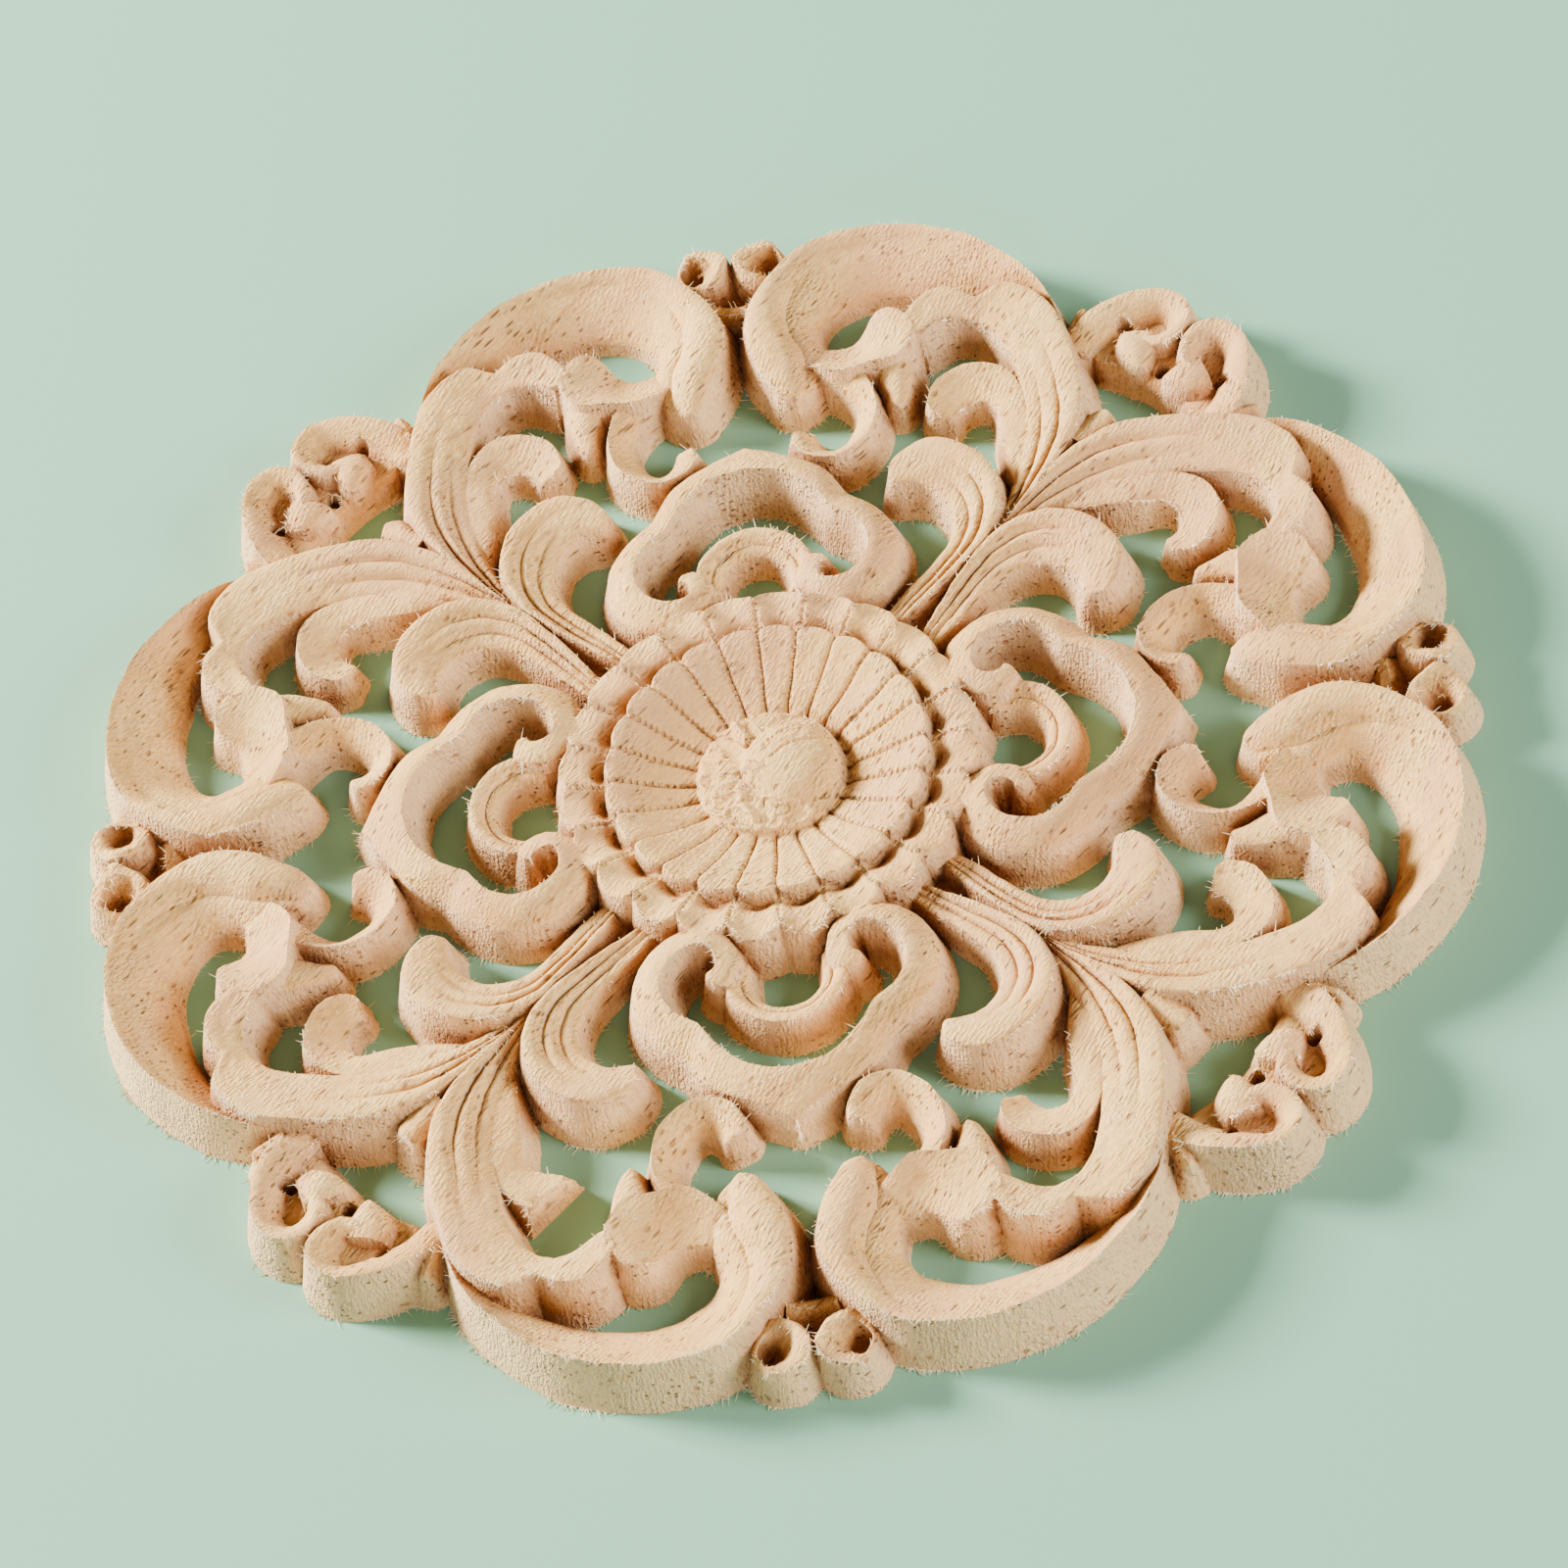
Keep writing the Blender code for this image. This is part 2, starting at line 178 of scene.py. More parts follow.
# %% The strokes of the horseshoe, its inner arch and the small cups
STROKES["shoe"] = dict(rungs=[
    ((-5.3, 55.7), (-5.2, 51.1), (7, 8.2, TOP)),
    ((0, 58.6), (0, 52.3), (6, 7.8, TOP)),
    ((5.3, 55.7), (5.2, 51.1), (7, 8.4, TOP)),
    ((11.2, 52.4), (9.6, 47.3), (6.4, 8.4, TOP)),
    ((14.4, 47.2), (12.2, 43.2), (6, 7.9, TOP)),
    ((18.3, 43.8), (15.6, 40.5), (6.2, 8.2, TOP)),
    ((21.3, 38.4), (17.2, 36.4), (6.2, 8.3, TOP)),
    ((20.6, 31.6), (16, 32.4), (6.2, 8.3, TOP)),
    ((16.2, 26.8), (13.2, 30.2), (6.6, 8.2, TOP)),
    ((10, 26.2), (10.2, 30.2), (7.4, 8.2, TOP)),
    ((6.4, 30.6), (9.2, 32), (7.4, 8.1, 8.6)),
    ((6.8, 34.6), (9.6, 33.8), (7.4, 8, 8.2)),
    ((9, 36.6), (11.2, 34.6), (7.2, 7.6, 7.8)),
], corners=[1, 4], tip=1.1)
STROKES["arch"] = dict(rungs=[
    ((-4.6, 41.7), (-3, 38.6), (6.6, 6, 4.4)),
    ((0, 43.1), (0, 39.4), (6.6, 6, 4.4)),
    ((4.6, 41.7), (3, 38.6), (6.6, 6, 4.4)),
    ((8, 37.8), (4.9, 35.8), (6.6, 6, 4.4)),
    ((8.4, 31), (5, 32), (6.6, 6, 4.6)),
], creases=[(0.5, [(0.0, 0.58, 0.8), (4.0, 0.58, 0.8)])])
STROKES["cup"] = dict(rungs=[
    ((18.4, 69.2), (13.4, 69.4), (7.6, 6.8, 6.2)),
    ((20, 63.3), (16.6, 63.8), (7.2, 5.4, 3.4)),
    ((18.6, 57.5), (15.2, 59.8), (7.2, 5.2, 2.8)),
    ((13.9, 53.9), (13, 58), (7.3, 5.2, 2.8)),
    ((9, 54.9), (11.2, 58.8), (7.2, 5.6, 3.4)),
    ((6.4, 59), (9.8, 61), (6.4, 6.2, 5)),
], tip=1.5)
STROKES["tail"] = dict(rungs=[
    ((24.8, 73.4), (20.8, 70), (7.4, 7.8, 7.4)),
    ((25.8, 69.4), (20.8, 67.6), (6.6, 7.4, 6.2)),
    ((25.2, 65.8), (21.4, 65.2), (5.8, 6.6, 5.4)),
    ((24, 62.6), (21.8, 62.8), (5.2, 5.8, 5)),
], tip=1.0)
print(len(STROKES), "strokes so far")

# %% [markdown]
# The blossom on the diagonal is a small scroll over low ground, with a tab and a drop. The
# pocket is low ground too, where the leaves meet. Pits are holes that are bored later, each
# given as a middle, a radius and the height of its floor.

# %% The strokes of the buds on the axis and of the blossoms on the diagonal
STROKES["stem"] = dict(rungs=[
    ((-3.2, 85.2), (3.2, 85.2), (3.6, 2.4, 3.6)),
    ((-3.4, 87.2), (3.4, 87.2), (5.4, 4.2, 5.4)),
    ((-3.8, 89.8), (3.8, 89.8), (4, 1.4, 4)),
    ((-4, 93.4), (4, 93.4), (4.6, 3.6, 4.6)),
])
STROKES["fleur"] = dict(rungs=[
    ((48.2, 69.6), (50.6, 66.2), (6, 6, 5.8)),
    ((52.6, 73), (54.6, 68.6), (7.8, 6.9, 5)),
    ((58.6, 74.8), (58.6, 69.6), (8.4, 7.2, 3.8)),
    ((64.2, 74.3), (61.8, 70.4), (8.4, 6.8, 3.4)),
    ((67.3, 71), (62.8, 69.4), (8.4, 6.8, 3.6)),
    ((66.6, 67.2), (62.2, 67.8), (8.2, 7.4, 5.2)),
    ((63.2, 64.9), (61.2, 67.2), (7.8, 7.6, 6.8)),
    ((60.2, 65.2), (59.6, 67.2), (7.2, 7.4, 7)),
], tip=0.9)
STROKES["drop"] = dict(rungs=[
    ((61.8, 67.6), (56.8, 69), (6.6, 6.8, 6)),
    ((61.4, 65.4), (55.9, 66.6), (6.8, 7.6, 6.4)),
    ((60.4, 63.2), (56.6, 64.2), (6.4, 7.2, 6.2)),
    ((59.6, 61.8), (57.8, 62.4), (5.6, 6.2, 5.6)),
], tip=0.8)
STROKES["ground"] = dict(rungs=[
    ((51, 70.6), (52.7, 65.6), (4.6, 4.6, 4.6)),
    ((57, 72), (57.4, 62.6), (4.4, 4.5, 4.2)),
    ((64, 72.6), (61, 59.6), (4.8, 4.8, 4.4)),
    ((69.6, 67.4), (62, 58.6), (5, 5, 4.6)),
], blunt=1.2)
STROKES["tab"] = dict(rungs=[
    ((48.2, 70.4), (51.6, 70.4), (6.4, 7.2, 6.4)),
    ((50.6, 75.8), (53.2, 74.9), (5.6, 6.6, 5.4)),
], tip=1.3, blunt=1.2)
STROKES["peg"] = dict(rungs=[
    ((47, 50), (50, 47), (7.2, 8.2, 7.2)),
    ((51.8, 55.2), (55.2, 51.8), (6.6, 7.8, 6.6)),
], tip=1.3)
STROKES["pocket"] = dict(rungs=[
    ((18, 25), (25, 18), (2.2, 2.2, 2.2)),
    ((25, 31), (31, 25), (2.2, 2.2, 2.2)),
])
PITS = [
    # middle, radius half way up, height of its floor
    ((57.4, 70.2), 1.3, 1.8),
    ((61.9, 61.9), 1.3, 1.0),
]
BUD = dict(middle=(4.5, 93.9), radius=4.1, rim=6.6, floor=2.4)
print(len(STROKES), "strokes in all")

# %% [markdown]
# A smooth curve through the rungs is a Catmull-Rom spline: it passes through each rung and
# takes its slope from the neighbours. It is walked in even steps, so the mesh has the same
# fineness all along the stroke. A stroke with a tip is cut short by the tip's radius and
# rounded off with a few more stations that stand closer and closer together.

# %% A smooth walk along a stroke
STEP = 1.25  # millimetres from one station to the next
SPLINE_STEP = 0.04  # fine steps of the curve, as shares of a rung
TIP_BENDS = (16, 32, 48, 62, 74, 83)  # degrees round the tip that get a station
TIP_LEFT = 0.1  # share of the width that a tip ends with


def spline(stroke):
    """The stroke in fine steps (rung number, edges, heights) and the rungs it stops at."""
    table = np.array([[*a, *b, *z] for a, b, z in stroke["rungs"]])
    stops = [0, *stroke.get("corners", []), len(table) - 1]
    fine = []
    for start, end in zip(stops, stops[1:]):
        part = table[start:end + 1]
        p = np.vstack([2 * part[0] - part[1], part, 2 * part[-1] - part[-2]])
        for i in range(len(part) - 1):
            for t in np.arange(0.0, 1.0, SPLINE_STEP):
                row = 0.5 * (
                    2 * p[i + 1] + (p[i + 2] - p[i]) * t
                    + (2 * p[i] - 5 * p[i + 1] + 4 * p[i + 2] - p[i + 3]) * t * t
                    + (3 * p[i + 1] - p[i] - 3 * p[i + 2] + p[i + 3]) * t ** 3
                )
                fine.append([start + i + t, *row])
    fine.append([len(table) - 1.0, *table[-1]])
    return np.array(fine), stops


def walk(stroke):
    """Stations along the stroke: rung number, two edges, three heights, bend of the tip."""
    fine, stops = spline(stroke)
    gaps = [np.hypot(*np.diff(fine[:, k:k + 2], axis=0).T) for k in (1, 3)]
    run = np.concatenate([[0.0], np.cumsum((gaps[0] + gaps[1] + np.maximum(*gaps)) / 3)])
    tip = stroke.get("tip", 0.0)
    marks = [float(np.interp(stop, fine[:, 0], run)) for stop in stops]
    marks[-1] -= tip
    places = []
    for low, high in zip(marks, marks[1:]):
        count = max(2, round((high - low) / STEP))
        places += list(np.linspace(low, high, count, endpoint=False))
    places.append(marks[-1])
    bends = [0.0] * len(places)
    if tip:
        round_tip = [math.radians(a) for a in TIP_BENDS]
        bends += round_tip
        places += [marks[-1] + tip * math.sin(a) for a in round_tip]
    rows = np.array([np.interp(places, run, fine[:, k]) for k in range(8)]).T
    for row, bend in zip(rows, bends):
        half = np.hypot(*(row[3:5] - row[1:3])) / 2
        share = max(TIP_LEFT, 1 - tip * (1 - math.cos(bend)) / half)
        middle = (row[1:3] + row[3:5]) / 2
        row[1:3] = middle + (row[1:3] - middle) * share
        row[3:5] = middle + (row[3:5] - middle) * share
    return np.column_stack([rows, bends])


print("the scroll has", len(walk(STROKES["scroll"])), "stations")

# %% [markdown]
# Across the stroke the top is cut by a round-nosed cutter into coves and creases. Columns of
# the mesh follow each crease, so that it stays one clean line however the stroke bends. Both
# edges of the top are softened a little, and more on a stroke that is listed as blunt.

# %% The section across a stroke
SHARES = [0.0, 0.06, 0.2, 0.42, 0.66, 0.86]  # columns between two creases, as shares
SIDE_ROWS = [0.04, 0.3, 0.65, 1.0]  # rows down each side, as shares of the height
SOFT_DROP, SOFT_REACH = 0.22, 0.3  # how far an edge drops, and how far inwards
BLUNT_REACH = 0.9  # how far inwards a blunt edge is worn


def at_rung(pairs, rung):
    """A value listed at some rungs, read at any rung between them."""
    return float(np.interp(rung, [p[0] for p in pairs], [p[1] for p in pairs]))


def top_profile(stroke, rung, heights, width):
    """Shares across the top and their heights, from the first edge to the second."""
    creases = stroke.get("creases", [])
    blunt = stroke.get("blunt", 0.0)
    knots = [0.0] + [at_rung([(r, t) for r, t, _ in line], rung) for _, line in creases] + [1.0]
    depths = [at_rung([(r, d) for r, _, d in line], rung) for _, line in creases]
    za, zm, zb = heights
    shares = []
    for low, high in zip(knots, knots[1:]):
        shares += [low + (high - low) * s for s in SHARES]
    shares.append(1.0)
    tops = []
    for t in shares:
        z = za * (1 - t) * (1 - 2 * t) + zm * 4 * t * (1 - t) + zb * t * (2 * t - 1)
        for knot, depth, (reach, _) in zip(knots[1:], depths, creases):
            z -= depth * math.exp(-abs(t - knot) * width / reach)
        for interval, rise in stroke.get("swells", []):
            low, high = knots[interval], knots[interval + 1]
            if low < t < high:
                s = (t - low) / (high - low)
                z += at_rung(rise, rung) * 4 * s * (1 - s)
        for edge in (t, 1 - t):
            z -= SOFT_DROP * math.exp(-edge * width / SOFT_REACH)
            z -= blunt * math.exp(-edge * width / BLUNT_REACH)
        tops.append(min(z, TOP))
    return shares, tops


# %% [markdown]
# The sides lean outwards down to the back, so each edge has a foot that stands a little
# further out. Where a stroke curls tightly, its feet would cross each other, so there the
# side is cut steeper, a little at a time, until the feet keep the order of the edges.

# %% Feet that do not cross
TRIES = 60  # times the tight places are cut steeper, at most
STEEPER = 0.85  # share of its reach that a foot keeps each time
IN_ORDER = 0.15  # share of an edge's own step that its feet have to keep


def unit(arrows):
    return arrows / np.linalg.norm(arrows, axis=1, keepdims=True)


def foot_reach(edges, others, heights, bends):
    """Which way and how far each foot stands out from its edge, kept from crossing."""
    along = np.gradient(edges, axis=0)
    outward = np.column_stack([-along[:, 1], along[:, 0]])
    across = unit(edges - others)
    ahead = np.gradient((edges + others) / 2, axis=0)
    ahead -= across * (ahead * across).sum(1, keepdims=True)
    ahead = unit(ahead)
    outward *= np.sign((outward * across).sum(1) + 1e-12)[:, None]
    outward = unit(outward)
    for end in (0, -1):
        outward[end] = across[end]
    if bends.any():
        last = int(np.argmax(bends > 0)) - 1
        turn = bends[last + 1:, None]
        outward[last + 1:] = outward[last] * np.cos(turn) + ahead[last] * np.sin(turn)
        outward = unit(outward)
    reach = heights * LEAN
    steps = np.diff(edges, axis=0)
    for _ in range(TRIES):
        feet = edges + outward * reach[:, None]
        bad = (np.diff(feet, axis=0) * steps).sum(1) < IN_ORDER * (steps ** 2).sum(1)
        if not bad.any():
            break
        tight = np.zeros(len(edges), bool)
        tight[:-1] |= bad
        tight[1:] |= bad
        reach = np.where(tight, reach * STEEPER, reach)
    return outward, reach


# %% [markdown]
# At each station the section is a closed ring: up the first side, across the top and down
# the second side. The end faces lean like the sides. The broken stub is listed as ragged, so
# the last points of it are pulled in and out at random, as splinters stand on a break.

# %% The rings of a stroke
def side_rows(edge, foot, push, top):
    """Points down one side, from the edge of the top to the foot."""
    heights = [top * (1 - s) for s in SIDE_ROWS]
    return [(*(edge + foot * s + push * (top - z)), z) for s, z in zip(SIDE_ROWS, heights)]


def torn_ring(ring, ahead, pull):
    """The ring with each point moved along the stroke; a tear changes little with height."""
    moves = [pull * noise.noise(Vector((x * 1.3, y * 1.3, z * 0.15))) for x, y, z in ring]
    return [(x + ahead[0] * q, y + ahead[1] * q, z) for (x, y, z), q in zip(ring, moves)]


def rings_of(stroke):
    rows = walk(stroke)
    rungs, bends = rows[:, 0], rows[:, 8]
    left, right, heights = rows[:, 1:3], rows[:, 3:5], np.minimum(rows[:, 5:8], TOP)
    left_way, left_reach = foot_reach(left, right, heights[:, 0], bends)
    right_way, right_reach = foot_reach(right, left, heights[:, 2], bends)
    middle = (left + right) / 2
    ahead = (middle[-1] - middle[-2]) / np.linalg.norm(middle[-1] - middle[-2])
    last = len(rungs) - 1
    rings = []
    for i, rung in enumerate(rungs):
        width = np.linalg.norm(right[i] - left[i])
        shares, tops = top_profile(stroke, rung, heights[i], width)
        push = np.zeros(2)
        if i in (0, last) and not bends[i]:
            push = middle[i] - middle[1 if i == 0 else -2]
            push = push / np.linalg.norm(push) * LEAN
        ring = side_rows(left[i], left_way[i] * left_reach[i], push, tops[0])[::-1]
        ring += [(*(left[i] + (right[i] - left[i]) * t), z) for t, z in zip(shares, tops)]
        ring += side_rows(right[i], right_way[i] * right_reach[i], push, tops[-1])
        if "ragged" in stroke and i >= last - 1:
            ring = torn_ring(ring, ahead, stroke["ragged"])
        rings.append(ring + ring[:1])
    return rings


print("the scroll has", len(rings_of(STROKES["scroll"])[0]) - 1, "points round its section")

# %% [markdown]
# The mesh of a stroke starts as a flat grid: its columns run round the section and its rows
# run along the stroke. Every vertex is then moved to its place, the seam under the stroke is
# merged, and the two open ends are filled.

# %% Bend a grid into a stroke
WELD = 1e-7  # metres within which two points count as one


def closed_up(bm):
    """Merge seams, fill open ends, and make all faces triangles that point outwards."""
    bmesh.ops.remove_doubles(bm, verts=bm.verts[:], dist=WELD)
    bmesh.ops.holes_fill(bm, edges=[e for e in bm.edges if e.is_boundary], sides=0)
    bmesh.ops.recalc_face_normals(bm, faces=bm.faces[:])
    if bm.calc_volume(signed=True) < 0:
        bmesh.ops.reverse_faces(bm, faces=bm.faces[:])
    bmesh.ops.triangulate(bm, faces=bm.faces[:])
    return bm


def stroke_mesh(name):
    rings = rings_of(STROKES[name])
    bm = bmesh.new()
    count, length = len(rings[0]) - 1, len(rings) - 1
    bmesh.ops.create_grid(bm, x_segments=count, y_segments=length, size=0.5)
    for v in bm.verts:
        u, w = round((v.co.x + 0.5) * count), round((v.co.y + 0.5) * length)
        v.co = Vector(rings[w][u]) * MM
    return closed_up(bm)


def keep(bm, name):
    """Put a finished shape into an object of its own."""
    mesh = bpy.data.meshes.new(name)
    bm.to_mesh(mesh)
    bm.free()
    piece = bpy.data.objects.new(name, mesh)
    bpy.context.collection.objects.link(piece)
    return piece


def spin(bm, chain, steps):
    """Turn a chain of points once round the upright axis."""
    edges = [bm.edges.new(pair) for pair in zip(chain, chain[1:])]
    bmesh.ops.spin(
        bm, geom=chain + edges, cent=(0, 0, 0), axis=(0, 0, 1), dvec=(0, 0, 0),
        angle=math.tau, steps=steps, use_merge=True, use_duplicate=False,
    )
    bmesh.ops.remove_doubles(bm, verts=bm.verts[:], dist=WELD)


# %% [markdown]
# The medallion is turned round the middle: a scalloped outer ring, a raised inner ring, 24
# petals that slope down to the middle, and a rough round boss. Its profile is spun a full
# turn. Then a wave with one sharp notch every fifteen degrees is pressed into it, deep at
# the rims and shallow on the petals.

# %% Spin the medallion and press its flutes
LOBES = 24
AROUND = LOBES * 14
PROFILE = [
    # radius, height, scallop of the radius, scoop in the middle of a lobe
    (31.4, 0.0, 0.6, 0.0), (30.7, 2.6, 0.6, 0.0), (30.0, 5.2, 0.6, 0.0), (29.5, 7.2, 0.6, 0.1),
    (29.25, 8.4, 0.8, 1.0), (29.0, 9.0, 0.8, 1.5), (28.6, 9.15, 0.7, 1.6), (27.8, 9.0, 0.5, 1.4),
    (26.8, 8.6, 0.25, 1.0), (25.8, 8.35, 0.15, 1.0), (24.9, 8.0, 0.1, 1.3), (24.2, 7.7, 0.2, 1.7),
    (23.6, 7.6, 0.35, 2.0), (23.2, 7.7, 0.45, 1.8), (22.95, 8.2, 0.5, 0.8), (22.7, 8.75, 0.5, 0.2),
    (22.4, 9.0, 0.5, 0.05), (21.9, 8.95, 0.4, 0.1), (21.2, 8.7, 0.25, 0.15),
    (20.3, 8.3, 0.1, 0.22), (19.3, 7.8, 0.0, 0.28), (18.2, 7.25, 0.0, 0.3),
    (17.0, 6.65, 0.0, 0.3), (15.8, 6.1, 0.0, 0.28), (14.6, 5.6, 0.0, 0.25),
    (13.4, 5.2, 0.0, 0.2), (12.3, 4.85, 0.0, 0.15), (11.4, 4.6, 0.0, 0.1),
]
PROFILE += [(radius, height, 0.0, 0.0) for radius, height in (
    (10.8, 4.5), (10.4, 4.9), (10.1, 5.4), (9.7, 5.9), (9.2, 6.3), (8.6, 6.7), (8.0, 7.0),
    (7.3, 7.3), (6.6, 7.6), (5.8, 7.8), (5.0, 8.0), (4.2, 8.1), (3.4, 8.2), (2.6, 8.3),
    (1.8, 8.3), (0.9, 8.3),
)]
PEAK = 8.3  # height of the very middle
BOSS = 10.6  # radius where the middle boss begins
GROOVED = 28.0  # radius where the cuts between the petals end
GROOVE, GROOVE_REACH = 0.75, 0.36  # depth of such a cut and half its width
SCALLOP_POWER = 0.7  # under 1 the scallops are full and their notches sharp


def medallion():
    bm = bmesh.new()
    row = bm.verts.layers.float.new("row")
    chain = [bm.verts.new((0.0, r * MM, z * MM)) for r, z, *_ in PROFILE]
    chain.append(bm.verts.new((0.0, 0.0, PEAK * MM)))
    for i, v in enumerate(chain):
        v[row] = i
    spin(bm, chain, AROUND)
    for v in bm.verts:
        i = round(v[row])
        if i >= len(PROFILE):
            continue
        radius, height, scallop, scoop = PROFILE[i]
        angle = math.atan2(v.co.y, v.co.x)
        wave = abs(math.sin(LOBES / 2 * (angle - math.pi / 2)))
        r = radius + scallop * (2 * wave ** SCALLOP_POWER - 1)
        z = height - scoop * wave
        if BOSS < radius < GROOVED:
            from_cut = radius * math.asin(wave) / (LOBES / 2)
            z -= GROOVE * math.exp(-from_cut / GROOVE_REACH)
        v.co = Vector((r * math.cos(angle), r * math.sin(angle), z)) * MM
    return closed_up(bm)


print("the medallion is turned from", len(PROFILE), "points in", AROUND, "steps")

# %% [markdown]
# The buds on the axes are small knobs with a bowl cut into them. They are turned as well,
# then squeezed and bent by noise, since each real one is a little lopsided.

# %% Turn one bud
BUD_STEPS = 36
BUD_NARROW = 0.94  # the knob is a little narrower towards the axis
BUD_SLANT = 0.035  # its rim drops by this share for each millimetre outwards
BOWL_SHIFT = 1.3  # the bottom of the bowl lies this much to one side
BUD_WOBBLE = 0.33  # bends of the noise to a millimetre


def bud():
    (x, y), radius, rim, floor = BUD["middle"], BUD["radius"], BUD["rim"], BUD["floor"]
    wall = [
        (radius + rim * LEAN, 0.0), (radius + 0.2 * rim * LEAN, 0.8 * rim), (radius, rim - 0.2),
        (radius - 0.5, rim), (radius - 1.1, rim - 0.2), (radius * 0.6, rim - 1.2),
        (radius * 0.45, (rim + floor) / 2), (radius * 0.28, floor + 0.4), (0.0, floor),
    ]
    bm = bmesh.new()
    spin(bm, [bm.verts.new((r * MM, 0.0, z * MM)) for r, z in wall], BUD_STEPS)
    closed_up(bm)
    for v in bm.verts:
        bowl = 0.0
        if v.co.z > floor * 0.9 * MM:
            bowl = max(0.0, 1 - math.hypot(v.co.x, v.co.y) / MM / (radius - 0.5))
        v.co.z *= 1 - BUD_SLANT * v.co.x / MM
        v.co.x = v.co.x * BUD_NARROW + BOWL_SHIFT * min(1.0, 2 * bowl) * MM
        v.co += noise.noise_vector(v.co / MM * BUD_WOBBLE) * min(0.7, v.co.z * 200) * MM
    bmesh.ops.translate(bm, vec=Vector((x, y, 0.0)) * MM, verts=bm.verts[:])
    return bm


# %% [markdown]
# All strokes and the medallion are one piece of wood, so they are joined by Booleans and not
# just pushed into each other: the junctions become crisp lines, and nothing stays hidden
# inside. The joined shape is cut along the axis and the diagonal, which gives the wedge.

# %% Join the strokes and cut the wedge
DRILL = 8.0  # height of the cone that bores a pit
DRILL_NARROW, DRILL_WIDE = 0.55, 1.5  # its ends, as shares of the pit's radius
CUTS = ((-1.0, 0.0, 0.0), (1.0, -1.0, 0.0))  # the axis and the diagonal


def pit_drill(x, y, radius, floor):
    bm = bmesh.new()
    bmesh.ops.create_cone(
        bm, cap_ends=True, segments=28, radius1=radius * DRILL_NARROW * MM,
        radius2=radius * DRILL_WIDE * MM, depth=DRILL * MM,
    )
    bmesh.ops.translate(bm, vec=Vector((x, y, floor + DRILL / 2)) * MM, verts=bm.verts[:])
    bmesh.ops.triangulate(bm, faces=bm.faces[:])
    return bm


def wedge(without):
    body = keep(medallion(), "medallion")
    others = [keep(stroke_mesh(n), n) for n in STROKES if n != without] + [keep(bud(), "bud")]
    others += [keep(pit_drill(x, y, radius, floor), "pit") for (x, y), radius, floor in PITS]
    for other in others:
        join = body.modifiers.new(other.name, "BOOLEAN")
        join.operation = "DIFFERENCE" if other.name.startswith("pit") else "UNION"
        join.solver = "MANIFOLD"
        join.object = other
    bm = bmesh.new()
    bm.from_object(body, bpy.context.evaluated_depsgraph_get())
    for gone in [body, *others]:
        bpy.data.objects.remove(gone, do_unlink=True)
    for normal in CUTS:
        everything = bm.verts[:] + bm.edges[:] + bm.faces[:]
        bmesh.ops.bisect_plane(
            bm, geom=everything, dist=WELD, plane_co=(0, 0, 0), plane_no=normal, clear_outer=True
        )
    mesh = bpy.data.meshes.new("wedge")
    bm.to_mesh(mesh)
    bm.free()
    return mesh


whole = wedge("stub")
chipped = wedge("curl")
print("one wedge has", len(whole.polygons), "faces")

# %% [markdown]
# The wedge is mirrored across the diagonal, and the pair is turned to the four quarters. One
# thin curl, below the middle and to the left, is broken off on the real piece, so that place
# gets the wedge with the stub.

# %% Weld eight wedges into the rosette
SEAM = 2e-6  # metres within which the points of two wedges are welded
MIRROR = Matrix(((0, 1, 0, 0), (1, 0, 0, 0), (0, 0, 1, 0), (0, 0, 0, 1)))


def rosette():
    bm = bmesh.new()
    for quarter in range(4):
        turn = Matrix.Rotation(math.radians(90.0 * quarter), 4, "Z")
        for mirrored in (False, True):
            start = len(bm.verts)
            first = len(bm.faces)
            bm.from_mesh(chipped if quarter == 2 and not mirrored else whole)
            bm.verts.ensure_lookup_table()
            bm.faces.ensure_lookup_table()
            placed = turn @ MIRROR if mirrored else turn
            bmesh.ops.transform(bm, matrix=placed, verts=bm.verts[start:])
            if mirrored:
                bmesh.ops.reverse_faces(bm, faces=bm.faces[first:])
    bmesh.ops.remove_doubles(bm, verts=bm.verts[:], dist=SEAM)
    bmesh.ops.triangulate(bm, faces=bm.faces[:])
    return bm


# %% [markdown]
# The boss in the middle was left rough, and it isn't the same on all sides. On its right is a
# smooth ball, and on its left a lower part that is picked and has one ridge. Three shallow
# cuts cross the ball. All of it is one formula for the height, read at each point.

# %% The height of the boss
REST = dict(foot=4.6, rise=1.5)  # the low part, in millimetres
BALL = dict(middle=(2.8, 0.2), radius=7.6, foot=4.2, rise=4.7)
SCRATCHES = ((0.5, 0.4), (0.62, -2.2), (-0.2, -4.1))  # way in radians, and offset
SCRATCH_DEPTH, SCRATCH_WIDTH = 0.35, 0.28
PICKED_SIZE, PICKED_UP, PICKED_DOWN = 0.3, 0.6, 1.1  # noise to a millimetre, heights
RIDGE_AT, RIDGE_HEIGHT, RIDGE_WIDTH = -3.6, 0.8, 0.5


